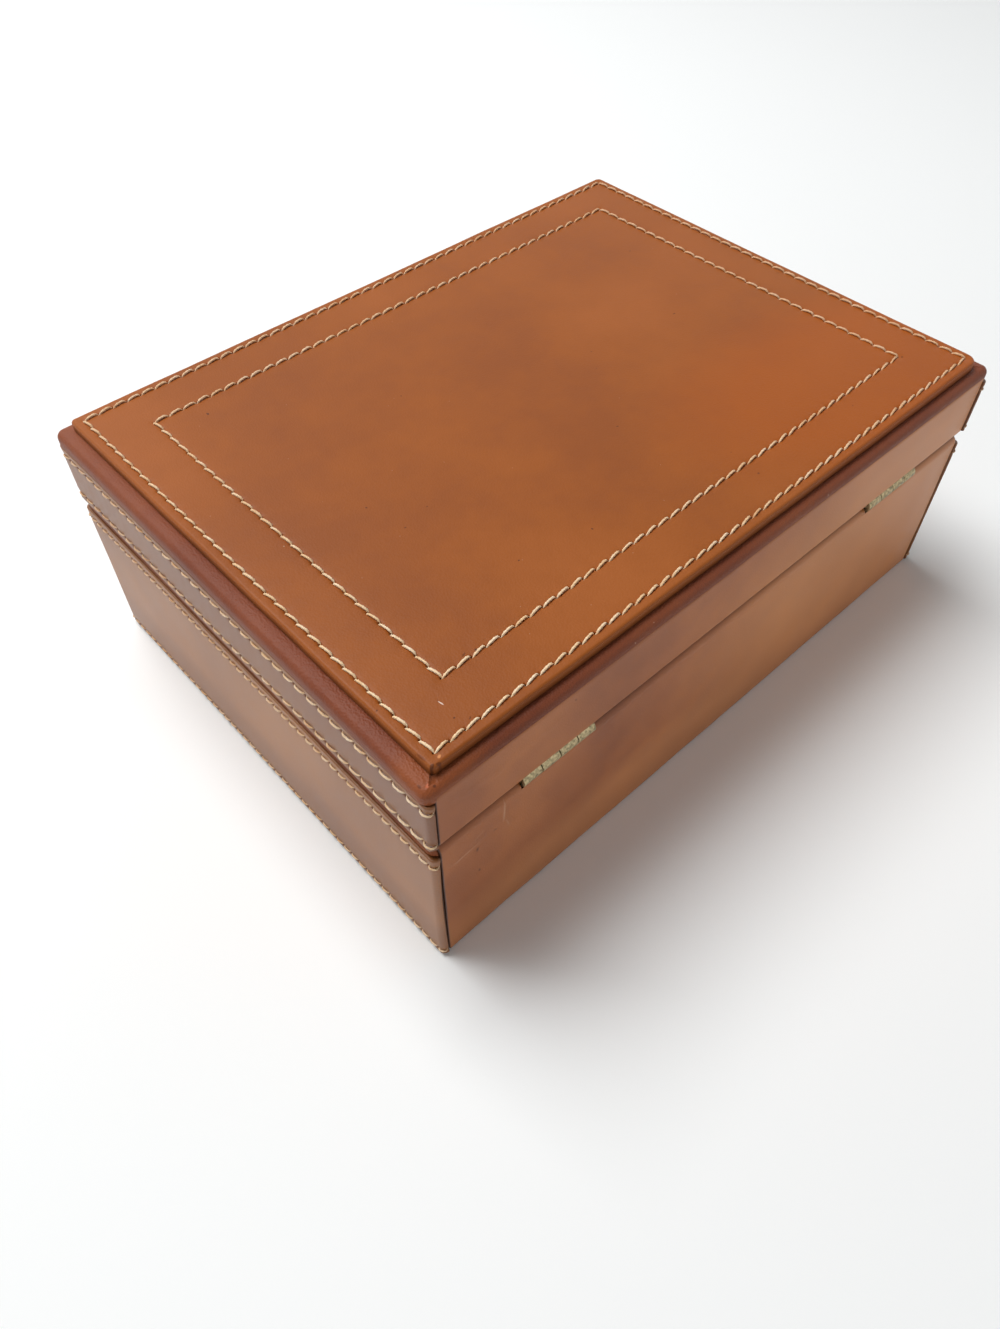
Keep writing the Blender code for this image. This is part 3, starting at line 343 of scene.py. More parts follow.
def saddle_leather(name, hues, roughness, shine, coat=0.0, patch_mm=60.0, grain_mm=0.05, marks=()):
    """Bark-tanned cowhide with its dye, wax and polish. The hues go from light to dark."""
    light, middle_tone, dark = hues
    even = {"IOR": 1.48, "Specular IOR Level": shine, "Coat Weight": coat, "Coat Roughness": 0.28}
    material, tree, shader = new_material(name, even)
    place = add(tree, "ShaderNodeTexCoord").outputs["Object"]
    patches = add(tree, NOISE, {"Vector": place, "Scale": per_mm(patch_mm)})
    mottle = add(tree, NOISE, {"Vector": place, "Scale": per_mm(7.0), "Detail": 4.0, "Roughness": 0.6})
    blend = add(tree, MIX, {0: 0.22, 6: patches, 7: mottle}, data_type="RGBA").outputs[2]
    colour = add(tree, RAMP, blend, stops=((0.34, dark), (0.50, middle_tone), (0.66, light)))
    for cell_mm, detail, rough, stops, tint in (
        (0.45, 2.0, 0.7, ((0.45, 0.0), (0.75, 0.20)), dark),
        (0.9, 0.0, 0.0, ((0.90, 0.0), (0.93, 0.45)), PALE_DUST),
        (1.9, 0.0, 0.0, ((0.085, 0.7), (0.105, 0.0)), DARK_SPOTS),
    ):
        values = {"Vector": place, "Scale": per_mm(cell_mm), "Detail": detail, "Roughness": rough}
        colour = stained(tree, colour, add(tree, NOISE, values), stops, tint)
    # Some marks are wear and stains, and some are painted light and shade.
    for tint, strength, *where in marks:
        amount = add(tree, MATH, mark_at(tree, place, *where), strength, operation="MULTIPLY")
        colour = add(tree, MIX, {0: amount, 6: colour, 7: tint}, data_type="RGBA").outputs[2]
    # The attribute mixes in the edges' dye, and painted shade at the awl's holes, the panel's foot and the
    # parting.
    dyed = add(tree, "ShaderNodeAttribute", attribute_name="dyed").outputs["Fac"]
    colour = add(tree, MIX, {0: dyed, 6: colour, 7: DYE_AND_SHADE}, data_type="RGBA").outputs[2]
    duller, shinier = roughness + 0.05, roughness - 0.04
    polish = add(tree, MAP_RANGE, {"Value": mottle, "To Min": shinier, "To Max": duller})
    wrinkles = add(tree, NOISE, {"Vector": place, "Scale": per_mm(3.2), "Detail": 3.0})
    relief = add(tree, BUMP, {"Height": wrinkles, "Distance": 0.06 * MM, "Strength": 0.30})
    pores = add(tree, "ShaderNodeTexVoronoi", {"Vector": place, "Scale": per_mm(0.6)})
    values = {"Height": pores, "Distance": grain_mm * MM, "Strength": 0.8, "Normal": relief}
    feed(tree, shader, {"Base Color": colour, "Roughness": polish, "Normal": add(tree, BUMP, values)})
    return material


# %% Marks of use and painted light
# Each mark is (tint, strength, centre, half size, degrees, plane), with its sizes in millimetres.
panel_marks = [
    ("#A8520C", 0.42, (-86.0, 64.0), (90.0, 48.0), -12.0),
    ("#F0D8C8", 0.8, (101.6, 72.0), (0.22, 1.0), 10.0),
    ("#3A1608", 0.8, (102.1, 77.3), (0.35, 0.30)),
    ("#3A1608", 0.5, (99.4, 79.8), (0.55, 0.25), 30.0),
    ("#3A1608", 0.7, (-97.6, 67.1), (0.5, 0.4)),
    ("#3A1608", 0.7, (114.4, 83.9), (0.9, 0.55), 20.0),
    ("#4A2010", 0.6, (112.8, 84.3), (0.8, 0.4), -15.0),
    ("#D89058", 0.8, (111.5, 83.0), (0.7, 0.5), 30.0),
    ("#5A2A14", 0.5, (114.6, 80.5), (0.4, 1.8), 6.0),
    ("#2A1008", 0.7, (84.8, 65.4), (0.5, 0.4)),
    ("#3A1608", 0.5, (88.0, 64.6), (0.9, 0.35), 20.0),
    ("#3A1608", 0.6, (70.2, 20.4), (0.4, 0.3)),
    ("#3A1608", 0.6, (34.0, -26.0), (0.35, 0.3)),
]
rim_marks = [
    ("#9C5426", 0.45, (114.0, 84.0), (16.0, 12.0)),
    ("#C86A44", 0.6, (117.2, 85.4), (0.8, 0.5), 20.0),
    ("#3A1608", 0.7, (116.0, 86.4), (0.5, 0.4)),
    ("#3A1608", 0.5, (118.6, 84.2), (0.4, 0.8)),
]
back_wear_and_light = [
    # Painted highlight: lighter lines along the crease and the fold, partly lighter wear.
    ("#C89878", 0.55, (96.1, 54.0), (0.45, 5.2), 4.0, "XZ"),
    ("#C08C6A", 0.40, (94.9, 47.6), (0.35, 2.8), -14.0, "XZ"),
    ("#C89878", 0.50, (109.2, 48.4), (5.6, 0.40), -7.0, "XZ"),
    ("#C08C6A", 0.35, (104.6, 51.8), (2.4, 0.35), -24.0, "XZ"),
    ("#30140A", 0.55, (105.2, 45.0), (0.55, 1.3), 8.0, "XZ"),
    ("#30140A", 0.50, (104.8, 33.2), (0.50, 1.0), -12.0, "XZ"),
    ("#30140A", 0.45, (99.0, 48.0), (0.9, 0.4), 15.0, "XZ"),
    ("#1C0A05", 0.9, (72.0, 80.0), (0.35, 0.35), 0.0, "XZ"),
    # Painted light: the far end and the lower part of the back lighter.
    ("#E29A60", 0.55, (-95.0, 40.0), (130.0, 62.0), 0.0, "XZ"),
    ("#D08C58", 0.50, (40.0, 4.0), (110.0, 26.0), 0.0, "XZ"),
]
# Painted shade: the whole lid band, and the base band towards its foot, darker.
band_painted_shade = [
    ("#6B3A1E", 0.50, (0.0, 71.0), (400.0, 12.0), 0.0, "XZ"),
    ("#744220", 0.42, (0.0, 4.0), (400.0, 20.0), 0.0, "XZ"),
]

# %% The four leathers
panel_leather = saddle_leather(
    "saddle_leather_panel", ("#9E5722", "#96511C", "#8B4A1C"), 0.46, 0.20, marks=panel_marks
)
rim_leather = saddle_leather(
    "saddle_leather_rim", ("#8A4A2A", "#7E4025", "#70361F"), 0.52, 0.26, grain_mm=0.15, marks=rim_marks
)
band_hues = ("#A2662E", "#955C2A", "#875126")
band_leather = saddle_leather(
    "saddle_leather_band", band_hues, 0.40, 0.40, 0.14, grain_mm=0.07, marks=band_painted_shade
)
back_leather = saddle_leather(
    "saddle_leather_back", ("#B8703C", "#A66236", "#94542E"), 0.46, 0.4, 0.08, patch_mm=40.0, marks=back_wear_and_light
)
print(len(bpy.data.materials), "materials so far")

# %% [markdown]
# ## Paths round the box
# Everything on the outside follows the box's plan: straight sides joined by quarter turns. A path is
# described by its moves, like walking round the box clockwise, and a function then gives the place and
# the outward direction at any distance along it. A seam, the leather under it and the strip between two
# bands can then all ask the same path, and agree to the hair.

# %% Sizes of the leather work
LENGTH = 240.0 * MM
DEPTH = 177.0 * MM
CORNER = 2.0 * MM
BAND_CUT = 0.5 * MM
GAP = 0.3 * MM
BAND_THICKNESS = 1.9 * MM
COVER_THICKNESS = 1.1 * MM
CAP_THICKNESS = 1.6 * MM
BACK_THICKNESS = 1.3 * MM
half_length = LENGTH / 2
half_depth = DEPTH / 2
band_low, band_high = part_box("base_band_leather")
band_return = CORNER + BAND_CUT
print("base band from", round(band_low.z, 5), "to", round(band_high.z, 5), "m")


# %% Walking round a plan
def make_path(start, heading, moves):
    """Segments of a path. A positive move is a straight length, ("turn", radius) a quarter to the right."""
    segments = []
    x, y = start
    angle = heading
    along = 0.0
    for move in moves:
        if isinstance(move, tuple):
            radius = move[1]
            centre = (x + radius * math.sin(angle), y - radius * math.cos(angle))
            length = radius * math.pi / 2
            segments.append((along, length, centre, angle, radius))
            angle -= math.pi / 2
            x = centre[0] - radius * math.sin(angle)
            y = centre[1] + radius * math.cos(angle)
        else:
            length = move
            segments.append((along, length, (x, y), angle, 0.0))
            x += length * math.cos(angle)
            y += length * math.sin(angle)
        along += length
    return segments


def path_length(path):
    return path[-1][0] + path[-1][1]


def along_path(path, distance):
    """The place on a path and its outward direction."""
    for start, length, corner, angle, radius in path:
        if distance <= start + length or start == path[-1][0]:
            break
    step = distance - start
    if radius:
        turned = angle - step / radius
        out = Vector((-math.sin(turned), math.cos(turned), 0))
        return Vector((*corner, 0)) + radius * out, out
    ahead = Vector((math.cos(angle), math.sin(angle), 0))
    return Vector((*corner, 0)) + step * ahead, Vector((-math.sin(angle), math.cos(angle), 0))


def plan_moves(half_x, half_y, radius):
    """Once round a closed plan, clockwise from the hinge side's left end."""
    side_x = 2 * (half_x - radius)
    side_y = 2 * (half_y - radius)
    turn = ("turn", radius)
    return [side_x, turn, side_y, turn, side_x, turn, side_y, turn]


def band_moves():
    """From one cut end of a band to the other, round the right end, the front and the left end."""
    closed = plan_moves(half_length, half_depth, CORNER)
    ends = band_return - CORNER
    return [ends, *closed[1:7], ("turn", CORNER), ends]


band_path = make_path((half_length - band_return, half_depth), 0.0, band_moves())
print("a band is", round(path_length(band_path) * 1000, 1), "mm long")

# %% [markdown]
# ## Saddle stitching
# A saddler marks the seam with a pricking iron, pierces it with an awl, and sews with two needles. Each
# stitch is therefore its own short arch of waxed thread that dives into a slanted hole at both ends. A
# row has dozens of them and follows its path exactly, which suits Geometry Nodes. The tree samples the
# row, bends one arch over each stretch between two holes, wraps a three-lobed thread round it and
# twists it. Its inputs are real sizes, and one seed sets the small differences of handwork.

# %% Sizes of the stitching
PANEL_PITCH = 4.8 * MM
LID_PITCH = 4.9 * MM
BASE_PITCH = 3.75 * MM
THREAD_RADIUS = 0.43 * MM
WALL_RISE = 0.16 * MM
WALL_THREAD_RADIUS = 0.33 * MM
TOP_RISE = 0.30 * MM
ROW_END = 0.55 * MM
POINTS_PER_STITCH = 9
THREAD_SIDES = 6


def stitches_in(length, pitch):
    return max(1, round(length / pitch))


# %% Waxed thread
PALEST_CORNER = (118 * MM, 86 * MM, 90 * MM)


def waxed_thread():
    """Twisted linen drawn over beeswax: matt, cream, and browner the further from its palest corner."""
    even = {"Roughness": 0.62, "IOR": 1.5, "Sheen Weight": 0.15}
    material, tree, shader = new_material("waxed_linen_thread", even)
    place = add(tree, "ShaderNodeTexCoord").outputs["Object"]
    dirt = add(tree, NOISE, {"Vector": place, "Scale": per_mm(7.0), "Detail": 3.0, "Roughness": 0.6})
    colour = add(tree, RAMP, dirt, stops=((0.28, "#DDAE7A"), (0.44, "#F2CFA0"), (0.66, "#FBE4C2")))
    from_palest = add(tree, VECTOR_MATH, place, PALEST_CORNER, operation="DISTANCE").outputs["Value"]
    values = {"Value": from_palest, "From Min": 30 * MM, "From Max": 270 * MM, "To Max": 0.62}
    browning = add(tree, MAP_RANGE, values)
    colour = add(tree, MIX, {0: browning, 6: colour, 7: "#C4875A"}, data_type="RGBA").outputs[2]
    fibres = add(tree, NOISE, {"Vector": place, "Scale": per_mm(0.16), "Detail": 2.0, "Roughness": 0.7})
    colour = stained(tree, colour, fibres, ((0.30, 0.25), (0.55, 0.0)), "#B88660")
    relief = add(tree, BUMP, {"Height": fibres, "Distance": 0.05 * MM, "Strength": 0.6})
    feed(tree, shader, {"Base Color": colour, "Normal": relief})
    return material


thread_material = waxed_thread()

# %% The stitching tree
STITCH_INPUTS = {
    "Stitches": ("NodeSocketInt", 1),
    "Thread Radius": ("NodeSocketFloat", THREAD_RADIUS),
    "Rise": ("NodeSocketFloat", TOP_RISE),
    "Sink": ("NodeSocketFloat", 0.62 * MM),
    "Slant": ("NodeSocketFloat", 0.78 * MM),
    "Twist": ("NodeSocketFloat", 7.0),
    "On A Wall": ("NodeSocketBool", False),
    "Seed": ("NodeSocketInt", 1),
    "Thread": ("NodeSocketMaterial", thread_material),
}
UP = (0.0, 0.0, 1.0)
REACH = 0.96
DIVE_POWER = 4.0
END_TAPER = -0.38
ONE_TURN = 6.28
LOBE_STEP = -0.18
LOBE_HIGH = 1.06


def new_tree(name, geometry, inputs, made):
    """A geometry tree with named inputs (kind, value), and its input node's outputs."""
    tree = bpy.data.node_groups.new(name, "GeometryNodeTree")
    tree.interface.new_socket(geometry, in_out="INPUT", socket_type="NodeSocketGeometry")
    for title, (kind, value) in inputs.items():
        socket = tree.interface.new_socket(title, in_out="INPUT", socket_type=kind)
        if value is not None:
            socket.default_value = value
    tree.interface.new_socket(made, in_out="OUTPUT", socket_type="NodeSocketGeometry")
    return tree, add(tree, "NodeGroupInput").outputs


def make_stitch_tree():
    tree, given = new_tree("saddle_stitches", "Row", STITCH_INPUTS, "Stitches Made")
    row = add(tree, "GeometryNodeMeshToCurve", given["Row"])
    row_length = add(tree, "GeometryNodeCurveLength", row)
    pitch = add(tree, MATH, row_length, given["Stitches"], operation="DIVIDE")

    index = add(tree, "GeometryNodeInputIndex")
    stitch = add(tree, "FunctionNodeIntegerMath", index, POINTS_PER_STITCH, operation="DIVIDE_FLOOR")
    point = add(tree, "FunctionNodeIntegerMath", index, POINTS_PER_STITCH, operation="MODULO")
    part = add(tree, MATH, point, POINTS_PER_STITCH - 1, operation="DIVIDE")
    both_ways = add(tree, MATH, part, 2.0, -1.0, operation="MULTIPLY_ADD")
    off_centre = add(tree, MATH, both_ways, operation="ABSOLUTE")
    dive = add(tree, MATH, off_centre, DIVE_POWER, operation="POWER")

    def handwork(low, high, seed):
        """A number that differs a little from one stitch to the next."""
        own_seed = add(tree, MATH, given["Seed"], seed, operation="ADD")
        values = {2: low, 3: high, "ID": stitch, "Seed": own_seed}
        return add(tree, "FunctionNodeRandomValue", values, data_type="FLOAT").outputs[1]

    start = add(tree, MATH, 0.02, handwork(-0.02, 0.02, 1), operation="ADD")
    reach = add(tree, MATH, part, REACH, start, operation="MULTIPLY_ADD")
    pitches = add(tree, MATH, stitch, reach, operation="ADD")
    distance = add(tree, MATH, pitches, pitch, operation="MULTIPLY")
    on_row = add(tree, "GeometryNodeSampleCurve", {"Curves": row, "Length": distance}, mode="LENGTH").outputs
    from_wall = add(tree, VECTOR_MATH, UP, on_row["Tangent"], operation="CROSS_PRODUCT")
    out = add(tree, "GeometryNodeSwitch", given["On A Wall"], UP, from_wall, input_type="VECTOR")
    across = add(tree, VECTOR_MATH, out, on_row["Tangent"], operation="CROSS_PRODUCT")

    deep = add(tree, MATH, given["Rise"], given["Sink"], operation="ADD")
    drop = add(tree, MATH, deep, dive, operation="MULTIPLY")
    rise = add(tree, MATH, given["Rise"], handwork(0.75, 1.2, 2), operation="MULTIPLY")
    height = add(tree, MATH, rise, drop, operation="SUBTRACT")
    slant = add(tree, MATH, given["Slant"], handwork(0.7, 1.25, 3), operation="MULTIPLY")
    from_middle = add(tree, MATH, part, 0.5, operation="SUBTRACT")
    aside = add(tree, MATH, slant, from_middle, operation="MULTIPLY")
    risen = add(tree, VECTOR_MATH, {0: out, "Scale": height}, operation="SCALE")
    slanted = add(tree, VECTOR_MATH, {0: across, "Scale": aside}, operation="SCALE")
    moved = add(tree, VECTOR_MATH, risen, slanted, operation="ADD")
    place = add(tree, VECTOR_MATH, on_row["Position"], moved, operation="ADD")

    count = add(tree, MATH, given["Stitches"], POINTS_PER_STITCH, operation="MULTIPLY")
    points = add(tree, "GeometryNodePoints", {"Count": count, "Position": place})
    arches = add(tree, "GeometryNodePointsToCurves", points, stitch, part)
    turn = add(tree, MATH, part, given["Twist"], handwork(0.0, ONE_TURN, 4), operation="MULTIPLY_ADD")
    arches = add(tree, "GeometryNodeSetCurveTilt", {"Curve": arches, "Tilt": turn})
    taper = add(tree, MATH, dive, END_TAPER, handwork(0.92, 1.08, 5), operation="MULTIPLY_ADD")

    values = {"Resolution": THREAD_SIDES, "Radius": given["Thread Radius"]}
    ring = add(tree, "GeometryNodeCurvePrimitiveCircle", values)
    odd = add(tree, "FunctionNodeIntegerMath", index, 2, operation="MODULO")
    lobe = add(tree, MATH, odd, LOBE_STEP, LOBE_HIGH, operation="MULTIPLY_ADD")
    on_circle = add(tree, "GeometryNodeInputPosition")
    lobes = add(tree, VECTOR_MATH, {0: on_circle, "Scale": lobe}, operation="SCALE")
    ring = add(tree, "GeometryNodeSetPosition", {"Geometry": ring, "Position": lobes})

    values = {"Curve": arches, "Profile Curve": ring, "Scale": taper, "Fill Caps": True}
    mesh = add(tree, "GeometryNodeCurveToMesh", values)
    mesh = add(tree, "GeometryNodeSetShadeSmooth", mesh)
    mesh = add(tree, "GeometryNodeRealizeInstances", mesh)
    mesh = add(tree, "GeometryNodeSetMaterial", {"Geometry": mesh, "Material": given["Thread"]})
    add(tree, "NodeGroupOutput", mesh)
    return tree


stitch_tree = make_stitch_tree()
print(len(stitch_tree.nodes), "nodes make a stitch")


# %% Sewing a row
def run_tree(tree, source, values):
    """Puts a node tree on an object with its named inputs, and returns what it makes."""
    modifier = source.modifiers.new(tree.name, "NODES")
    modifier.node_group = tree
    for item in tree.interface.items_tree:
        if item.item_type == "SOCKET" and item.in_out == "INPUT" and item.name in values:
            modifier[item.identifier] = values[item.name]
    return kept_mesh(source)


def polyline(name, points):
    bm = bmesh.new()
    line = [bm.verts.new(point) for point in points]
    for pair in zip(line, line[1:]):
        bm.edges.new(pair)
    return built(name, bm)


def sew(name, stretches, on_wall, seed, body, node):
    """One piece for a row. Each stretch is (points, number of stitches)."""
    rise, radius = (WALL_RISE, WALL_THREAD_RADIUS) if on_wall else (TOP_RISE, THREAD_RADIUS)
    values = {"Rise": rise, "Thread Radius": radius, "On A Wall": on_wall, "Thread": thread_material}
    bm = bmesh.new()
    for number, (points, count) in enumerate(stretches):
        source = polyline(f"{name}_{number}", points)
        bm.from_mesh(run_tree(stitch_tree, source, {**values, "Stitches": count, "Seed": seed + number}))
    piece = finish_piece(built(name, bm, thread_material), node, body)
    print(name, sum(count for _, count in stretches), "stitches,", len(piece.data.polygons), "faces")


# %% [markdown]
# ## How a seam presses the leather
# The thread pulls the leather down at every hole and lets it swell a little between them, so a stitched
# edge looks quilted. One function gives the depth at any place beside a seam, and the painted shade that
# darkens the awl's hole there. The meshes of the leather have rows and columns exactly at the holes,
# close together where the shape is small and far apart where the leather is plain.

# %% The press of a seam
HOLE_HALF_WIDTH = 0.24 * MM
HOLE_HALF_HEIGHT = 0.40 * MM
HOLE_DEPTH = 0.85 * MM
CHANNEL_HALF = 0.62 * MM
CHANNEL_DEPTH = 0.10 * MM
PUCKER_HALF = 1.7 * MM
PUCKER_DEPTH = 0.15 * MM
NEAR_MM = (-2.0, -1.3, -0.85, -0.55, -0.35, -0.15, 0.0, 0.15, 0.35, 0.55, 0.85, 1.3, 2.0)
NEAR_A_ROW = [near * MM for near in NEAR_MM]
NEAR_A_HOLE = [mm * MM for mm in (-0.34, -0.15, 0.0, 0.15, 0.34)]


def bell(value, half):
    return math.exp(-((value / half) ** 2))


def pressed(along, across, pitch):
    """Depth and painted shade at a place beside a seam; along is measured from one of its holes."""
    if abs(across) > 3 * PUCKER_HALF:
        return 0.0, 0.0
    to_hole = (along + pitch / 2) % pitch - pitch / 2
    hole = bell(to_hole, HOLE_HALF_WIDTH) * bell(across, HOLE_HALF_HEIGHT)
    pull = 0.5 + 0.5 * math.cos(2 * math.pi * along / pitch)
    depth = HOLE_DEPTH * hole + CHANNEL_DEPTH * bell(across, CHANNEL_HALF)
    # The darkness of the awl's hole is painted shade.
    return depth + PUCKER_DEPTH * pull * bell(across, PUCKER_HALF), min(1.0, 1.3 * hole)


def seam_columns(start, end, count):
    """Where the columns of a mesh stand along a seam: five at each hole and three between two holes."""
    pitch = (end - start) / count
    columns = []
    for hole in range(count + 1):
        place = start + hole * pitch
        columns += [place + near for near in NEAR_A_HOLE]
        columns += [place + pitch * quarter / 4 for quarter in (1, 2, 3)]
    return [column for column in columns if start < column < end]


# %% A mesh from rows of points
def woven(name, columns, rows, place, round_path, material):
    """A closed solid. place(column, row) gives a point of its skin and how dark it is there, from dye and
    painted shade.

    The rows go once round the section. The columns go round the box, or end in two cut faces.
    """
    bm = bmesh.new()
    dyed = bm.verts.layers.float.new("dyed")
    grid = []
    for column in columns:
        line = []
        for row in rows:
            point, dark = place(column, row)
            vertex = bm.verts.new(point)
            vertex[dyed] = dark
            line.append(vertex)
        grid.append(line)
    ring = grid + [grid[0]] if round_path else grid
    for here, ahead in zip(ring, ring[1:]):
        for i in range(len(rows)):
            j = (i + 1) % len(rows)
            bm.faces.new((here[i], here[j], ahead[j], ahead[i]))
    if not round_path:
        bm.faces.new(grid[0])
        bm.faces.new(list(reversed(grid[-1])))
    bmesh.ops.recalc_face_normals(bm, faces=bm.faces)
    return built(name, bm, material, smooth=True)


def waves(point, millimetres, depth_mm, seed=0.0):
    """A soft unevenness of the surface."""
    return depth_mm * MM * noise.noise(point / (millimetres * MM) + Vector((seed, 0.0, 0.0)))


# %% [markdown]
# ## The keyhole
# The key goes through a brass escutcheon and the leather behind it. Both holes are cut with the same
# round bar and slot, made from the same sizes: a little wider through the leather, as a saddler punches
# it to leave room, and true to size through the brass.

# %% The keyhole
KEYHOLE_RADIUS = 1.9 * MM
KEYHOLE_SLOT = 1.3 * MM
KEYHOLE_FOOT = 4.1 * MM
KEYHOLE_DEEP = 20.0 * MM
LEATHER_ROOM = 0.3 * MM
plate_low, plate_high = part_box("keyhole_escutcheon")
keyhole_centre = Vector((0, plate_high.y, (plate_low.z + plate_high.z) / 2))


def keyhole_cutters(wider):
    """A round hole and the slot below it, each wider by this much on every side."""
    hole = rod("hole", keyhole_centre, KEYHOLE_RADIUS + wider, KEYHOLE_DEEP, (0, 1, 0), 48)
    half = KEYHOLE_SLOT + wider
    slot_low = (-half, keyhole_centre.y - KEYHOLE_DEEP / 2, keyhole_centre.z - KEYHOLE_FOOT - wider)
    slot_high = (half, keyhole_centre.y + KEYHOLE_DEEP / 2, keyhole_centre.z)
    return [combined(hole, [block("slot", slot_low, slot_high)], "UNION")]


print("keyhole", round(keyhole_centre.z / MM, 1), "mm above the underside")

# %% [markdown]
# ## The bands
# A band is one strip of thick leather, skived thin at its edges, glued round the front and both ends
# and sewn top and bottom. Its two ends turn the rear corners and stop in a cut, dyed edge. It is swept
# along the path: the section is a thin upright rectangle with rounded edges, pressed in by two seams.

# %% Band leather
CUT_ROUND = 0.45 * MM
CUT_STEPS = 4
DYED_EDGE = 0.85
FOOT_DYE = 0.5
HEAD_DYE = 0.15
SEAM_REACH = 2.0 * MM
PLAIN_ROW = 6.0 * MM
LEAST_ROW = 0.04 * MM


def band_section(low, high, seams):
    """Rows of a band's section as (depth below its face, height, dye), once round."""
    turn = [math.pi / 2 * i / CUT_STEPS for i in range(CUT_STEPS + 1)]
    foot = [(CUT_ROUND * (1 - math.sin(a)), low + CUT_ROUND * (1 - math.cos(a))) for a in turn[:-1]]
    head = [(CUT_ROUND * (1 - math.cos(a)), high - CUT_ROUND * (1 - math.sin(a))) for a in turn[1:]]
    heights = {low + CUT_ROUND, high - CUT_ROUND}
    for seam in seams:
        heights |= {seam + near for near in NEAR_A_ROW}
    apart = seams[0] - seams[1]
    plain = max(2, int(apart / PLAIN_ROW))
    heights |= {seams[1] + SEAM_REACH + (apart - 2 * SEAM_REACH) * i / plain for i in range(plain + 1)}
    heights = sorted(h for h in heights if low + CUT_ROUND <= h <= high - CUT_ROUND)
    heights = [h for i, h in enumerate(heights) if i == 0 or h - heights[i - 1] > LEAST_ROW]
    rows = [(BAND_THICKNESS, low, 1.0), (*foot[0], DYED_EDGE), *[(*place, FOOT_DYE) for place in foot[1:]]]
    rows += [(0.0, z, 0.0) for z in heights]
    return rows + [(*place, HEAD_DYE) for place in head] + [(BAND_THICKNESS, high, 1.0)]


# %% Room for the lid's swing
hinge_axis = Vector((0, *[(a + b) / 2 for a, b in zip(*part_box("left_hinge_pin"))][1:]))
SWING_SLOPE = 0.9
SWING_MARGIN = 0.25 * MM
SWING_MOST = 2.1 * MM
LIFT_REACH = 3.2 * MM


def swing_lift(point, low):
    """How much the lid band's lower edge rises where it turns a rear corner and swings past the base."""
    behind = max(0.0, point.y - hinge_axis.y)
    needed = min(SWING_MARGIN + SWING_SLOPE * behind, SWING_MOST) - (low - hinge_axis.z)
    return max(0.0, needed) * max(0.0, 1 - (point.z - low) / LIFT_REACH)


# %% Bands and their stitches
FAR_CUT_DYE = 0.2
LID_BOW = 0.15 * MM
BASE_BOW = 0.75 * MM
BOW_POWER = 0.7
BOW_REACH = 3.0 * MM
HOLLOW = 0.1 * MM
CUT_COLUMNS = [0.0, 0.12 * MM, 0.28 * MM, CUT_ROUND]
ROW_POINTS = 600


def make_band(name, node, body, pitch, seams, bow, seed, cutters=()):
    """Sweeps a band along its path. Its cut ends run out by the bow at half height, as a hand's cut does."""
    low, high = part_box(node)
    length = path_length(band_path)
    count = stitches_in(length - 2 * ROW_END, pitch)
    real_pitch = (length - 2 * ROW_END) / count

    def place(column, row):
        depth, height, dark = row
        from_cut = min(column, length - column)
        near_cut = column < length / 2
        part = (height - low.z) / (high.z - low.z)
        shift = 0.0
        if 0 < part < 1:
            shift = bow * math.sin(math.pi * part) ** BOW_POWER * max(0.0, 1 - from_cut / BOW_REACH)
        point, out = along_path(band_path, column + shift if near_cut else column - shift)
        spot = Vector((point.x, point.y, height))
        if depth < BAND_THICKNESS:
            for seam in seams:
                press, hole = pressed(column - ROW_END, height - seam, real_pitch)
                depth += press
                dark = max(dark, hole)
            if from_cut < CUT_ROUND:
                depth += CUT_ROUND - math.sqrt(CUT_ROUND**2 - (CUT_ROUND - from_cut) ** 2)
                dye = DYED_EDGE if near_cut else FAR_CUT_DYE
                dark = max(dark, dye * (1 - from_cut / CUT_ROUND))
            depth -= waves(spot, 45.0, 0.22, seed) + waves(spot, 14.0, 0.05, seed)
            depth += HOLLOW * math.sin(math.pi * part) ** 2
        elif from_cut < CUT_ROUND and not near_cut:
            dark = FAR_CUT_DYE
        if body == "lid":
            spot.z += swing_lift(spot, low.z)
        return spot - out * depth, dark

    inner = seam_columns(ROW_END, length - ROW_END, count)
    columns = CUT_COLUMNS + [column for column in inner if CUT_ROUND < column < length - CUT_ROUND]
    columns += [length - column for column in reversed(CUT_COLUMNS)]
    piece = woven(name, columns, band_section(low.z, high.z, seams), place, False, band_leather)
    piece = finish_piece(piece, node, body, cutters=cutters)
    print(name, len(piece.data.polygons), "faces,", count, "stitches a row")
    return count


def seam_height(node):
    low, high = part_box(node)
    return (low.z + high.z) / 2


def sew_band(body, edge, height, count, seed):
    row_length = path_length(band_path) - 2 * ROW_END
    points = []
    for step in range(ROW_POINTS + 1):
        point, _ = along_path(band_path, ROW_END + row_length * step / ROW_POINTS)
        point.z = height
        if body == "lid":
            point.z += swing_lift(point, lid_band_low)
        points.append(point)
    sew(f"{body}_band_{edge}_stitches", [(points, count)], True, seed, body, f"{body}_band_{edge}_thread")


lid_band_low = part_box("lid_band_leather")[0].z
edges = ("upper", "lower")
lid_seams = [seam_height(f"lid_band_{edge}_thread") for edge in edges]
base_seams = [seam_height(f"base_band_{edge}_thread") for edge in edges]
node = "lid_band_leather"
lid_count = make_band("lid_band", node, "lid", LID_PITCH, lid_seams, LID_BOW, 3.0)
node = "base_band_leather"
keyhole = keyhole_cutters(LEATHER_ROOM)
base_count = make_band("base_band", node, "base", BASE_PITCH, base_seams, BASE_BOW, 8.0, keyhole)
for body, seams, count, seed in (("lid", lid_seams, lid_count, 11), ("base", base_seams, base_count, 13)):
    for number, edge in enumerate(edges):
        sew_band(body, edge, seams[number], count, seed + number)

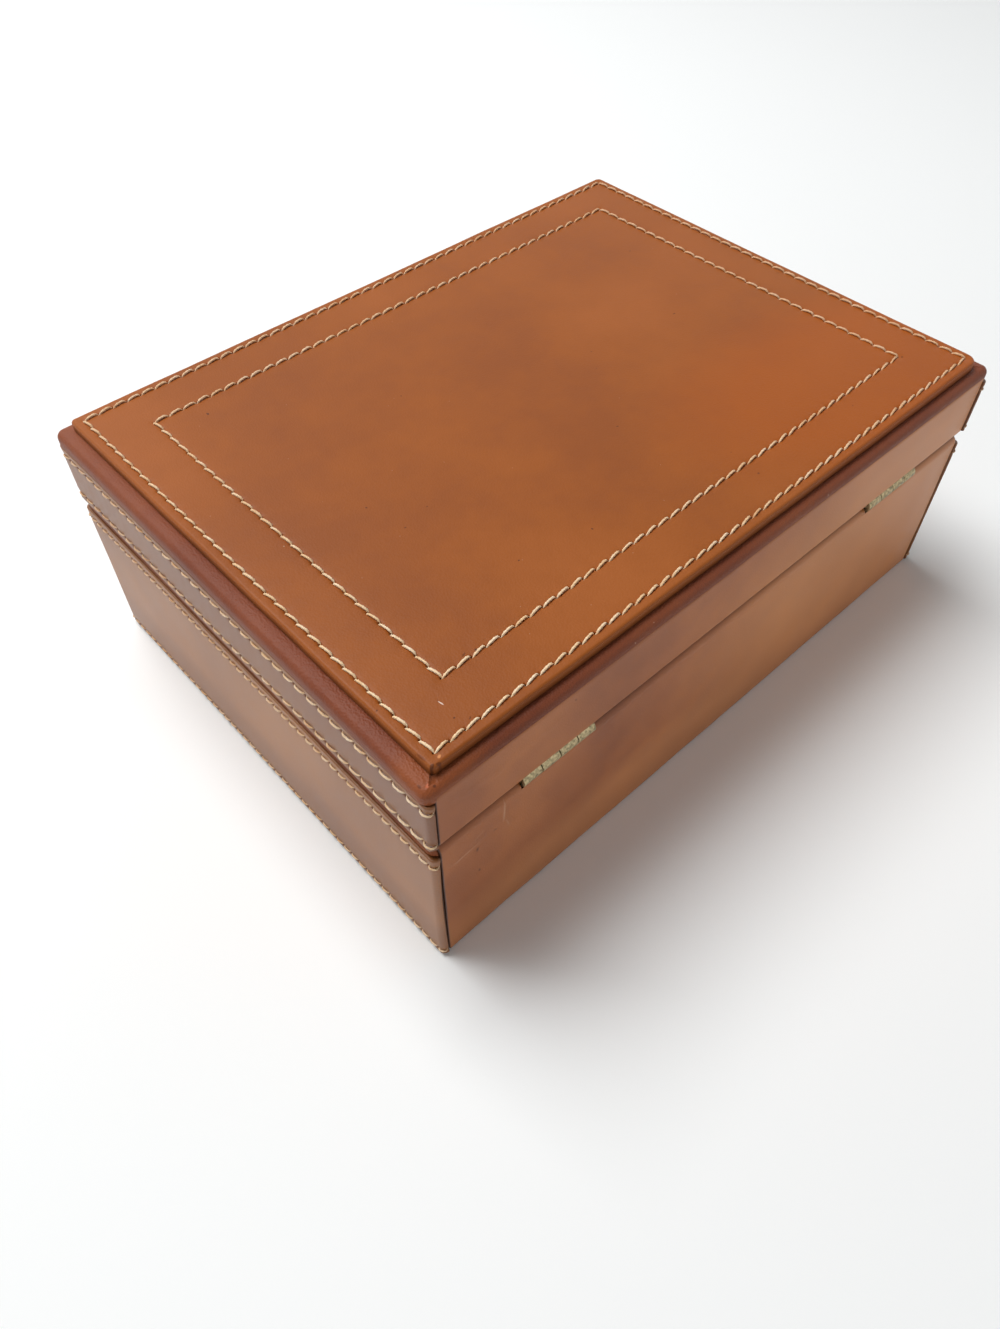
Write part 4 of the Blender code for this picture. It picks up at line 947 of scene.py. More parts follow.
# %% [markdown]
# ## The raised panel
# The panel is a board with leather turned over it, sewn twice round and glued to the lid. Its edge rolls
# over softly and tucks under, and painted shade darkens its foot into a thin dark line. The mesh is made
# of rings, each a rounded rectangle a little further in. Rings share their columns, which stand at the
# holes of the nearest seam, and two rings with unlike columns are zipped together with triangles.

# %% Rings on a rounded rectangle
CORNER_COLUMNS = 6
END_EASE = 30


def ring_marks(half_x, half_y, pitch):
    """Columns of a ring as (is a corner, number, share), placed for a seam at these half sizes."""
    marks = []
    for side in range(4):
        half = half_x if side % 2 == 0 else half_y
        holes = stitches_in(2 * half, pitch)
        marks += [(False, side, column / half) for column in seam_columns(-half, half, holes)]
        marks += [(True, side, i / (CORNER_COLUMNS - 1)) for i in range(CORNER_COLUMNS)]
    return marks


def even_marks(half_x, half_y, spacing, corner_columns):
    """Columns of a ring at an even spacing."""
    marks = []
    for side in range(4):
        half = half_x if side % 2 == 0 else half_y
        count = max(2, round(2 * half / spacing))
        marks += [(False, side, 2 * i / count - 1) for i in range(1, count)]
        marks += [(True, side, i / (corner_columns - 1)) for i in range(corner_columns)]
    return marks


def on_ring(mark, half_x, half_y, radius):
    """The place of a column on a rounded rectangle, and its outward direction.

    radius is one number, or one for each corner in the order of the sides.
    """
    corner, side, share = mark
    angle = math.pi / 2 * (1 - side)
    if not isinstance(radius, float):
        radius = radius[side] if corner or share > 0 else radius[side - 1]
    if corner:
        centre_x = (half_x - radius) * (1 if side in (0, 1) else -1)
        centre_y = (half_y - radius) * (1 if side in (0, 3) else -1)
        angle -= math.pi / 2 * share
        out = Vector((math.cos(angle), math.sin(angle), 0))
        return Vector((centre_x, centre_y, 0)) + radius * out, out
    out = Vector((math.cos(angle), math.sin(angle), 0))
    ahead = Vector((out.y, -out.x, 0))
    half, far = (half_x, half_y) if side % 2 == 0 else (half_y, half_x)
    along = half * share - math.copysign(radius * abs(share) ** END_EASE, share)
    return out * far + ahead * along, out


def zip_loops(bm, outer, inner):
    """Triangles between two loops that start at the same corner."""
    i = j = 0
    while i < len(outer) or j < len(inner):
        here, near = outer[i % len(outer)], inner[j % len(inner)]
        ahead, beside = outer[(i + 1) % len(outer)], inner[(j + 1) % len(inner)]
        step_outer = (ahead.co - near.co).length <= (here.co - beside.co).length
        if j == len(inner) or (i < len(outer) and step_outer):
            bm.faces.new((here, ahead, near))
            i += 1
        else:
            bm.faces.new((here, beside, near))
            j += 1


def join_loops(bm, outer, inner):
    for i in range(len(outer)):
        j = (i + 1) % len(outer)
        bm.faces.new((outer[i], outer[j], inner[j], inner[i]))


# %% Panel
SOLID_THREAD = 0.45 * MM


def row_of(node):
    """Half the length and width of a rectangular row, from its solid thread."""
    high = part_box(node)[1]
    return high.x - SOLID_THREAD, high.y - SOLID_THREAD


panel_low, panel_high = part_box("lid_plaque")
panel_half = (panel_high.x, panel_high.y)
panel_top = panel_high.z
outer_row = row_of("plaque_outer_thread")
inner_row = row_of("plaque_inner_thread")
outer_inset = panel_half[0] - outer_row[0]
inner_inset = panel_half[0] - inner_row[0]
PANEL_CORNERS = [1.3 * MM, 1.6 * MM, 2.0 * MM, 3.8 * MM]
LEAST_RADIUS = 0.3 * MM
PANEL_FOOT = 0.4 * MM
PANEL_ROLL = 0.95 * MM
FOOT_STEPS = 5
EDGE_STEPS = 8
FOOT_BELOW = 0.2 * MM
ZIP_INSET = 11.5 * MM
OUTER_PLAIN = [6.8 * MM, 9.0 * MM, ZIP_INSET]
INNER_PLAIN = [12.8 * MM, 15.0 * MM]
LAST_RING = 23.0 * MM
GRID_INSET = 25.0 * MM
GRID_CELL = 2.6 * MM
print("panel rows", [round(1000 * v, 2) for v in (*outer_row, *inner_row)], "mm from the middle")


def row_press(point, row):
    """The press of one rectangular row of stitches at a place on the panel."""
    off_end = abs(point.x) - row[0]
    off_side = abs(point.y) - row[1]
    nearer_end = abs(off_end) < abs(off_side) or abs(point.x) > row[0] + SEAM_REACH
    end_wins = nearer_end and abs(point.y) <= row[1] + SEAM_REACH
    along, across, half = (point.y, off_end, row[1]) if end_wins else (point.x, off_side, row[0])
    if abs(along) > half + PUCKER_HALF:
        return 0.0, 0.0
    pitch = 2 * half / stitches_in(2 * half, PANEL_PITCH)
    return pressed(along + half, across, pitch)


def panel_top_place(point):
    """A place on the panel's top with its seams and unevenness."""
    depth = -waves(Vector((point.x, point.y, 0.0)), 55.0, 0.16, 2.0)
    dark = 0.0
    for row in (outer_row, inner_row):
        press, hole = row_press(point, row)
        depth += press
        dark = max(dark, hole)
    return Vector((point.x, point.y, panel_top - depth)), dark


def edge_rows():
    """Rings of the panel's edge as (inset, height), from under its foot to the flat top."""
    foot = [math.pi / 2 * i / FOOT_STEPS for i in range(FOOT_STEPS + 1)]
    roll = [math.pi / 2 * i / EDGE_STEPS for i in range(EDGE_STEPS + 1)]
    low = panel_low.z - FOOT_BELOW
    rows = [(PANEL_FOOT * (1 - math.sin(a)), low + PANEL_FOOT * (1 - math.cos(a))) for a in foot]
    rows += [(PANEL_ROLL * (1 - math.cos(a)), panel_top - PANEL_ROLL * (1 - math.sin(a))) for a in roll]
    return rows


def panel_edge_place(point, out, height):
    """A place on the panel's edge: it follows the top's waves, with painted shade darkest at its foot."""
    top, _ = panel_top_place(point)
    share = max(0.0, (height - panel_low.z) / (panel_top - panel_low.z))
    swell = waves(Vector((point.x, point.y, 0.0)), 20.0, 0.12, 5.0)
    point = Vector((point.x, point.y, height + (top.z - panel_top) * share)) + out * swell
    # Painted shade: dark at the foot, fading out low on the edge.
    return point, 1.0 if share < 0.05 else max(0.0, 0.85 - 5.0 * share)


# %% Weaving the panel
def make_panel():
    bm = bmesh.new()
    dyed = bm.verts.layers.float.new("dyed")

    def make_rings(marks, places):
        """Rings at (inset, height), each joined to the one before; None stands for the top."""
        loops = []
        for inset, height in places:
            loop = []
            radius = [max(corner - inset, LEAST_RADIUS) for corner in PANEL_CORNERS]
            for mark in marks:
                point, out = on_ring(mark, panel_half[0] - inset, panel_half[1] - inset, radius)
                flat = height is None
                point, dark = panel_top_place(point) if flat else panel_edge_place(point, out, height)
                vertex = bm.verts.new(point)
                vertex[dyed] = dark
                loop.append(vertex)
            loops.append(loop)
        for outer, inner in zip(loops, loops[1:]):
            join_loops(bm, outer, inner)
        return loops

    near_row = [outer_inset - near for near in reversed(NEAR_A_ROW)]
    insets = [inset for inset in near_row if inset > PANEL_ROLL + 0.1 * MM] + OUTER_PLAIN
    places = edge_rows() + [(inset, None) for inset in insets]
    outer_loops = make_rings(ring_marks(*outer_row, PANEL_PITCH), places)
    near_row = [inner_inset - near for near in reversed(NEAR_A_ROW)]
    insets = [*INNER_PLAIN, *near_row, LAST_RING]
    inner_loops = make_rings(ring_marks(*inner_row, PANEL_PITCH), [(inset, None) for inset in insets])
    zip_loops(bm, outer_loops[-1], inner_loops[0])

    half_x, half_y = panel_half[0] - GRID_INSET, panel_half[1] - GRID_INSET
    cells_x, cells_y = round(2 * half_x / GRID_CELL), round(2 * half_y / GRID_CELL)
    xs = [2 * half_x * i / cells_x - half_x for i in range(cells_x + 1)]
    grid = []
    for j in range(cells_y + 1):
        y = half_y - 2 * half_y * j / cells_y
        grid.append([bm.verts.new(panel_top_place(Vector((x, y, 0)))[0]) for x in xs])
    for upper, lower in zip(grid, grid[1:]):
        for i in range(cells_x):
            bm.faces.new((upper[i], upper[i + 1], lower[i + 1], lower[i]))
    border = grid[0] + [row[-1] for row in grid[1:]] + list(reversed(grid[-1][:-1]))
    border += [row[0] for row in reversed(grid[1:-1])]
    zip_loops(bm, inner_loops[-1], border)

    bm.faces.new(outer_loops[0])
    bmesh.ops.recalc_face_normals(bm, faces=bm.faces)
    panel = built("lid_panel", bm, panel_leather, smooth=True)
    finish_piece(panel, "lid_plaque", "lid")
    print("panel", len(panel.data.polygons), "faces")


def panel_rows(row):
    """The four straight stretches of a rectangular row, with their stitches."""
    x, y = row
    corners = [Vector((sx * x, sy * y, panel_top)) for sx, sy in ((-1, 1), (1, 1), (1, -1), (-1, -1))]
    stretches = []
    for start, end in zip(corners, corners[1:] + corners[:1]):
        stretches.append(([start, end], stitches_in((end - start).length, PANEL_PITCH)))
    return stretches


make_panel()
sew("panel_outer_stitches", panel_rows(outer_row), False, 31, "lid", "plaque_outer_thread")
sew("panel_inner_stitches", panel_rows(inner_row), False, 41, "lid", "plaque_inner_thread")

# %% [markdown]
# ## The rim and the rolled edges
# Thinner leather covers the lid's top edge and the edges beside the parting. It is rolled over the wood,
# so its section is a quarter circle with a straight leg on each side. The same loop of points, set back
# by the leather's thickness, gives its inner face.

# %% Rolled leather
RIM_ROUND = 2.3 * MM
PARTING_ROUND = 3.0 * MM
ROUND_STEPS = 10
ROLLED_CELL = 3.0 * MM
ROLLED_CORNER_COLUMNS = 9
LEAST_LEG = 0.05 * MM
LEG_SHARE = 0.45


def rolled_section(edge_inset, edge, top, inner, radius, thickness, rise):
    """Rows of a rolled edge as (inset, height), once round. rise is +1 where the roll is at the top."""
    angles = [math.pi / 2 * i / ROUND_STEPS for i in range(ROUND_STEPS + 1)]
    centre = top - rise * radius
    near = edge_inset + radius
    fall = centre - edge
    legs = [] if abs(fall) < LEAST_LEG else [(edge_inset, edge), (edge_inset, edge + LEG_SHARE * fall)]
    outside = legs + [(near - radius * math.cos(a), centre + rise * radius * math.sin(a)) for a in angles]
    small = radius - thickness
    inside = [(near - small * math.cos(a), centre + rise * small * math.sin(a)) for a in reversed(angles)]
    inside += [(edge_inset + thickness, height) for _, height in reversed(legs)]
    return outside + [(inner, top), (inner, top - rise * thickness)] + inside


def make_rolled(name, node, body, section, corner, material, uneven, cutters=(), finish=None):
    """Sweeps a section round the box. The length of its name is the seed of a piece's own waves."""
    marks = even_marks(half_length, half_depth, ROLLED_CELL, ROLLED_CORNER_COLUMNS)

    def place(mark, row):
        inset, height = row
        radius = max(corner - inset, LEAST_RADIUS)
        point, out = on_ring(mark, half_length - inset, half_depth - inset, radius)
        spot = Vector((point.x, point.y, height))
        moved = spot + out * waves(spot, 30.0, uneven, len(name))
        return (moved, 0.0) if finish is None else finish(moved, out)

    piece = woven(name, marks, section, place, True, material)
    return finish_piece(piece, node, body, cutters=cutters)


# %% Rim
RIM_INSET = 0.05 * MM
RIM_SKIVE = 0.12 * MM
RIM_CORNER = 3.0 * MM
RIM_INNER = 14.0 * MM
LEDGE_RISE = 0.35 * MM
LEDGE_SLOPE = 1.0 * MM
BACK_INSET = 0.6 * MM
rim_low, rim_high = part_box("lid_cap_leather")
rim = rolled_section(RIM_INSET, rim_low.z, rim_high.z, RIM_INNER, RIM_ROUND, CAP_THICKNESS, 1)
panel_foot = half_length - panel_high.x
ledge_start = rim.index((RIM_INNER, rim_high.z))
rim[ledge_start:ledge_start] = [(panel_foot, rim_high.z + LEDGE_RISE), (panel_foot + LEDGE_SLOPE, rim_high.z)]


def rim_finish(point, out):
    """On the hinge side the rim lies a hair below the thinner sheet that laps over it."""
    return point - out * (BACK_INSET - RIM_INSET + RIM_SKIVE) * max(0.0, out.y), 0.0


make_rolled("lid_rim", "lid_cap_leather", "lid", rim, RIM_CORNER, rim_leather, 0.06, finish=rim_finish)
print("rim with", len(rim), "rows of points")

# %% Edges beside the parting
COVER_INSET = 0.8 * MM
COVER_CORNER = 4.0 * MM
INNER_INSET = 11.2 * MM
BOARD_INSET = 2.2 * MM
INNER_LAP = 0.9
PAST = 2.0 * MM
SHARE_TALL = 100.0 * MM
RECESS_FRONT = 4.0 * MM
RECESS_BOTTOM = 55.0 * MM
RECESS_TOP = 65.0 * MM
band_end = half_length - band_return


def hinge_side_share(name, gap):
    """The hinge side's share of the edges, with a mitre at each rear corner, as a block to cut with."""
    inner_x = half_length - INNER_INSET
    inner_y = half_depth - INNER_INSET
    right = [
        (inner_x - gap - PAST, inner_y - PAST),
        (band_end, inner_y + gap + band_end - inner_x),
        (band_end, half_depth + PAST),
    ]
    outline = right + [(-x, y) for x, y in reversed(right)]
    bm = bmesh.new()
    face = bm.faces.new([bm.verts.new((x, y, 0.0)) for x, y in outline])
    risen = bmesh.ops.extrude_face_region(bm, geom=[face])["geom"]
    top = [item for item in risen if isinstance(item, bmesh.types.BMVert)]
    bmesh.ops.translate(bm, vec=(0, 0, SHARE_TALL), verts=top)
    bmesh.ops.recalc_face_normals(bm, faces=bm.faces)
    return built(name, bm)


def make_parting_edge(body, section):
    """A rolled edge that leaves out the hinge side and the recess of the lock's plates."""
    low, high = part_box("strike_plate")
    recess_high = (high.x + GAP, high.y + RECESS_FRONT, RECESS_TOP)
    recess = block("recess", (low.x - GAP, low.y - GAP, RECESS_BOTTOM), recess_high)
    cutters = [hinge_side_share("opening", 0.0), recess]
    node = f"{body}_edge_leather"
    make_rolled(f"{body}_edge", node, body, section, COVER_CORNER, rim_leather, 0.03, cutters)


low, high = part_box("base_edge_leather")
section = rolled_section(COVER_INSET, low.z, high.z, INNER_INSET, PARTING_ROUND, COVER_THICKNESS, 1)
make_parting_edge("base", section)
low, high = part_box("lid_edge_leather")
thin = COVER_THICKNESS * INNER_LAP
section = rolled_section(BOARD_INSET, high.z, low.z, INNER_INSET, COVER_THICKNESS, thin, -1)
make_parting_edge("lid", section)
print("two rolled edges beside the parting")

# %% [markdown]
# ## The hinge side
# A thinner sheet covers the back of the base, and another the back of the lid. Each turns over the edge
# beside the parting, and both are cut out where the hinges lie. Years of handling have left their marks:
# a faint step where a layer below ends, a crease that runs down from a hinge, and shallow dents. Those
# are pushed into the mesh, so that they catch the light from every side.

# %% Creases, folds and scuffs
# Corners are (x, z) places on the back. A line is (depth, half width, corners), the first two in
# millimetres. A negative depth stands out of the leather.
LID_STEP = [(112 * MM, 78.6 * MM), (108 * MM, 76.2 * MM), (104 * MM, 76.4 * MM), (98 * MM, 74.8 * MM)]
LID_STEP_END = [(98 * MM, 74.8 * MM), (90 * MM, 76.6 * MM), (78 * MM, 76.2 * MM)]
CREASE = [(93.5 * MM, 60.0 * MM), (96.2 * MM, 57.0 * MM), (96.0 * MM, 51.0 * MM), (94.5 * MM, 46.0 * MM)]
CREASE_LIP = [(x - 1.6 * MM, z) for x, z in CREASE]
FOLD = [(114.5 * MM, 47.6 * MM), (109 * MM, 48.3 * MM), (103.5 * MM, 49.4 * MM)]
SCUFFS = [(105.2 * MM, 45.0 * MM), (104.8 * MM, 33.2 * MM), (99.0 * MM, 48.0 * MM)]
LID_LINES = ((-0.28, 0.7, LID_STEP), (-0.14, 0.8, LID_STEP_END))
BASE_LINES = ((-0.32, 0.8, CREASE), (0.26, 1.0, CREASE_LIP), (-0.34, 1.2, FOLD))
SCUFF_DEPTH = 0.22 * MM
SCUFF_HALF_WIDTH = 1.0 * MM
SCUFF_HALF_HEIGHT = 1.8 * MM
WORN_CORNER = 105.0 * MM
WORN_HALF = 22.0 * MM


def ridge(point, start, end, half):
    """How near a place on the back is to a line between two (x, z) points, from 0 to 1."""
    a, b, p = Vector(start), Vector(end), Vector((point.x, point.z))
    along = b - a
    share = min(1.0, max(0.0, (p - a).dot(along) / along.length_squared))
    return bell((p - (a + along * share)).length, half)


def line_depth(point, lines):
    """How deep the lines are at a place on the back, all together."""
    depth = 0.0
    for depth_mm, half_mm, corners in lines:
        nearest = max(ridge(point, a, b, half_mm * MM) for a, b in zip(corners, corners[1:]))
        depth += depth_mm * MM * nearest
    return depth


def lid_dents(point):
    """The depth of the lid's step and waves at a place on the back."""
    return line_depth(point, LID_LINES) + waves(point, 18.0, 0.10, 4.0)


def base_dents(point):
    """The depth of the base's creases, scuffs and waves at a place on the back."""
    depth = line_depth(point, BASE_LINES)
    for x, z in SCUFFS:
        depth += SCUFF_DEPTH * bell(point.x - x, SCUFF_HALF_WIDTH) * bell(point.z - z, SCUFF_HALF_HEIGHT)
    amount = bell(point.x - WORN_CORNER, WORN_HALF)
    return depth + waves(point, 16.0, 0.16, 6.0) + waves(point, 7.0, 0.09 * amount, 9.0)


print(len(LID_LINES) + len(BASE_LINES), "lines and", len(SCUFFS), "scuffs on the hinge side")

# %% Section of the back leather
BACK_ROW = 1.2 * MM
BACK_LIP = 0.3 * MM
FIRST_ROW = 0.3
INSIDE_STEPS = 5
back_face = half_depth - BACK_INSET


def back_section(far_end, near, rise):
    """Rows of the sheet's section as (y, height, is the outside), once round."""
    centre_y, centre_z = back_face - PARTING_ROUND, near + rise * PARTING_ROUND
    inner_y = half_depth - INNER_INSET
    plain = int((abs(near - far_end) - PARTING_ROUND) / BACK_ROW)
    tall = centre_z - far_end
    rows = [(back_face - BACK_LIP, far_end, True)]
    rows += [(back_face, far_end + tall * (i + FIRST_ROW) / plain, True) for i in range(plain)]

    def turn(radius, angle, outside):
        return centre_y + radius * math.cos(angle), centre_z - rise * radius * math.sin(angle), outside

    rows += [turn(PARTING_ROUND, math.pi / 2 * i / ROUND_STEPS, True) for i in range(ROUND_STEPS + 1)]
    rows += [(inner_y, near, False), (inner_y, near + rise * BACK_THICKNESS, False)]
    small = PARTING_ROUND - BACK_THICKNESS
    rows += [turn(small, math.pi / 2 * (1 - i / INSIDE_STEPS), False) for i in range(INSIDE_STEPS + 1)]
    return rows + [(back_face - BACK_THICKNESS, far_end, False)]


# %% Recesses for the hinges
BARREL_ROOM = 2.7 * MM
BARREL_ENDS = 0.8 * MM
LEAF_BOTTOM = 57.2 * MM
LEAF_TOP = 62.8 * MM


def barrel_block(side):
    """The round recess that a hinge's barrel lies in."""
    low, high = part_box(f"{side}_hinge_pin")
    centre = ((low.x + high.x) / 2, hinge_axis.y, hinge_axis.z)
    return rod("barrel", centre, BARREL_ROOM, high.x - low.x + BARREL_ENDS, (1, 0, 0))


def leaf_block(side):
    low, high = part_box(f"{side}_hinge_base_leaf")
    return block("leaf", (low.x - GAP, low.y - GAP, LEAF_BOTTOM), (high.x + GAP, hinge_axis.y, LEAF_TOP))


# %% Back leather
BACK_GAP = 0.25 * MM
FINE_CELL = 0.9 * MM
FINE_COLUMNS = 45
PLAIN_CELL = 1.9 * MM
PLAIN_COLUMNS = 95
END_COLUMNS = (0.0, 0.2 * MM, CUT_ROUND)
PARTING_SHADE = 0.75
SHADE_HALF = 0.7 * MM
PARTING_CLEAR = 1.6 * MM
LID_BACK_LAP = 2.0 * MM
back_end = band_end - BACK_GAP


def make_back(name, node, body, far_end, near, rise, dents):
    """Columns are close together near the photographed corner, where the creases lie."""
    fine = [back_end - FINE_CELL * i for i in range(FINE_COLUMNS)]
    plain = [fine[-1] - PLAIN_CELL * i for i in range(1, PLAIN_COLUMNS)]
    ends = [side * (back_end - step) for side in (-1, 1) for step in END_COLUMNS]
    columns = sorted({x for x in [*fine, *plain, *ends] if -back_end <= x})

    def place(x, row):
        y, height, outside = row
        point = Vector((x, y, height))
        if not outside:
            return point, 0.0
        away = min(max(0.0, abs(height - near) - PARTING_CLEAR) / PARTING_CLEAR, 1.0)
        point.y -= dents(point) * away
        from_end = back_end - abs(x)
        if from_end >= CUT_ROUND:
            return point, PARTING_SHADE * bell(height - near, SHADE_HALF)
        point.y -= CUT_ROUND - math.sqrt(CUT_ROUND**2 - (CUT_ROUND - from_end) ** 2)
        return point, DYED_EDGE

    piece = woven(name, columns, back_section(far_end, near, rise), place, False, back_leather)
    piece = combined(piece, [hinge_side_share("share", GAP * math.sqrt(2))], "INTERSECT")
    cutters = [barrel_block("left"), barrel_block("right"), leaf_block("left"), leaf_block("right")]
    piece = finish_piece(piece, node, body, cutters=cutters)
    print(name, len(piece.data.polygons), "faces")


low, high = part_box("base_back_leather")
make_back("base_back", "base_back_leather", "base", low.z, high.z, -1, base_dents)
low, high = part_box("lid_back_leather")
make_back("lid_back", "lid_back_leather", "lid", high.z + LID_BACK_LAP, low.z, 1, lid_dents)

# %% [markdown]
# ## Metal
# The hinges, the escutcheon and the key are brass, once polished and now dull and greenish in the
# hollows. The lock inside is plain steel. Neither has a colour of its own beside its reflection, so the
# base colour is the metal's tint, the metallic value is 1, and the age is in the roughness and in a
# brown-green film over part of the surface.


# %% Brass and steel
def worn_metal(name, bright, dull, roughness, film_mm, depth_mm):
    """Bare metal under a dull film that covers part of it and is rougher than the metal."""
    material, tree, shader = new_material(name, {"Metallic": 1.0})
    place = add(tree, "ShaderNodeTexCoord").outputs["Object"]
    film = add(tree, NOISE, {"Vector": place, "Scale": per_mm(film_mm), "Detail": 4.0, "Roughness": 0.6})
    colour = stained(tree, bright, film, ((0.40, 0.0), (0.62, 1.0)), dull)
    rough = add(tree, MAP_RANGE, {"Value": film, "To Min": roughness, "To Max": roughness + 0.25})
    wear = add(tree, NOISE, {"Vector": place, "Scale": per_mm(0.35), "Detail": 3.0, "Roughness": 0.7})
    relief = add(tree, BUMP, {"Height": wear, "Distance": depth_mm * MM, "Strength": 0.6})
    feed(tree, shader, {"Base Color": colour, "Roughness": rough, "Normal": relief})
    return material


aged_brass = worn_metal("aged_brass", "#BFAE88", "#857A5E", 0.38, 0.9, 0.05)
lock_steel = worn_metal("rolled_lock_steel", "#B4B2AC", "#7C776E", 0.32, 5.0, 0.02)
print(len(bpy.data.materials), "materials so far")

# %% [markdown]
# ## Hinges
# A butt hinge is two leaves of sheet brass whose edges are rolled into knuckles round one pin. Two
# knuckles belong to the base and two to the lid, so each half moves with its own body. A half is cut
# from simple solids: a plate, two short webs and two rolls, then a small bevel for the worn edges.

# %% Worn edges
def round_shaded(piece, degrees):
    """Shades round faces smooth and keeps edges crisp that are sharper than this angle."""
    piece.data.shade_smooth()
    piece.data.set_sharp_from_angle(angle=math.radians(degrees))
    return piece


def softened(piece, width, degrees=40):
    """Eases the edges of a hard piece and shades its round faces smooth."""
    bevel = piece.modifiers.new("eased", "BEVEL")
    bevel.width = width
    bevel.segments = 2
    bevel.limit_method = "ANGLE"
    bevel.angle_limit = math.radians(degrees)
    return round_shaded(applied(piece), 50)


# %% Hinge halves
KNUCKLES = 4
KNUCKLE_RADIUS = 2.3 * MM
KNUCKLE_GAP = 0.3 * MM
LEAF_THICKNESS = 1.1 * MM
LEAF_CLEAR = 0.4 * MM
WEB_LAP = 0.5 * MM
WEB_SHORT = 1.2 * MM
PIN_HOLE = 1.16 * MM
SCREW_SPACING = 15.0 * MM
HEAD_RADIUS = 1.4 * MM
SINK_WIDE = HEAD_RADIUS + 0.35 * MM
SINK_NARROW = 0.9 * MM
SINK_THROUGH = 0.4 * MM


def make_hinge_half(side, body):
    """Makes one half of a hinge, and returns where its two screws start, on the face at the parting."""
    node = f"{side}_hinge_{body}_leaf"
    back_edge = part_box(node)[0].y
    pin_low, pin_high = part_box(f"{side}_hinge_pin")
    centre = (pin_low.x + pin_high.x) / 2
    half = (pin_high.x - pin_low.x) / 2
    up = -1 if body == "base" else 1
    near = hinge_axis.z + up * GAP / 2
    far = near + up * LEAF_THICKNESS
    bottom, top = min(near, far), max(near, far)
    front_edge = hinge_axis.y - KNUCKLE_RADIUS - LEAF_CLEAR
    leaf_low = (centre - half, back_edge, bottom)
    leaf = block(f"{side}_{body}_hinge", leaf_low, (centre + half, front_edge, top))
    pitch = (2 * half + KNUCKLE_GAP) / KNUCKLES
    width = pitch - KNUCKLE_GAP
    outward = -1 if side == "left" else 1
    rolls = []
    for number in range(0 if body == "base" else 1, KNUCKLES, 2):
        x = centre - outward * (half - width / 2 - number * pitch)
        web_low = (x - width / 2, front_edge - WEB_LAP, bottom)
        rolls.append(block("web", web_low, (x + width / 2, hinge_axis.y - WEB_SHORT, top)))
        rolls.append(rod("roll", (x, hinge_axis.y, hinge_axis.z), KNUCKLE_RADIUS, width, (1, 0, 0), 48))
    leaf = combined(leaf, rolls, "UNION")
    middle_y = (front_edge + back_edge) / 2
    heads = [Vector((centre + along * SCREW_SPACING / 2, middle_y, near)) for along in (-1, 1)]
    first, last = (SINK_NARROW, SINK_WIDE) if body == "base" else (SINK_WIDE, SINK_NARROW)
    cutters = [rod("bore", (centre, hinge_axis.y, hinge_axis.z), PIN_HOLE, 3 * half, (1, 0, 0), 32)]
    for head in heads:
        place = (head.x, middle_y, (near + far) / 2)
        cutters.append(rod("sink", place, first, LEAF_THICKNESS + SINK_THROUGH, (0, 0, 1), 32, last))
    leaf = softened(combined(leaf, cutters, "DIFFERENCE"), 0.14 * MM)
    finish_piece(leaf, node, body, aged_brass)
    return heads


screw_places = {"base": [], "lid": []}
for side in ("left", "right"):
    for body in ("base", "lid"):
        screw_places[body] += make_hinge_half(side, body)
print({body: len(places) for body, places in screw_places.items()}, "hinge screws")

# %% [markdown]
# ## Screws
# Eight slotted wood screws hold the hinge leaves, and four more the lock and its strike plate. They are
# all one shape, so one screw is turned from a profile, and a small tree copies it to a cloud of points,
# upright or head down, with its slot at a random angle.

# %% One screw
MERGE = 1e-6
SHANK_RADIUS = 0.6 * MM
HEAD_EDGE = 0.05 * MM


def turned(name, profile, sides):
    """A solid of revolution about Z from (radius, height) points."""
    bm = bmesh.new()
    line = [bm.verts.new((radius, 0.0, z)) for radius, z in profile]
    geometry = line + [bm.edges.new(pair) for pair in zip(line, line[1:])]
    whole = {"angle": 2 * math.pi, "steps": sides, "use_merge": True}
    bmesh.ops.spin(bm, geom=geometry, cent=(0, 0, 0), axis=(0, 0, 1), **whole)
    bmesh.ops.remove_doubles(bm, verts=bm.verts, dist=MERGE)
    bmesh.ops.recalc_face_normals(bm, faces=bm.faces)
    return built(name, bm)


def one_screw():
    profile = [(0.0, 0.0), (HEAD_RADIUS - HEAD_EDGE, 0.0), (HEAD_RADIUS, -0.1 * MM)]
    profile += [(SHANK_RADIUS, -0.95 * MM), (SHANK_RADIUS, -5.0 * MM), (0.0, -6.2 * MM)]
    slot = block("slot", (-2 * MM, -0.2 * MM, -0.45 * MM), (2 * MM, 0.2 * MM, 1 * MM))
    return round_shaded(combined(turned("screw", profile, 32), [slot], "DIFFERENCE"), 30)


screw = one_screw()
print("a screw has", len(screw.data.polygons), "faces")

# %% Driving the screws
SCREW_INPUTS = {
    "Screw": ("NodeSocketObject", None),
    "Head Down": ("NodeSocketBool", False),
    "Seed": ("NodeSocketInt", 1),
    "Metal": ("NodeSocketMaterial", None),
}
HEAD_SUNK = 0.1 * MM


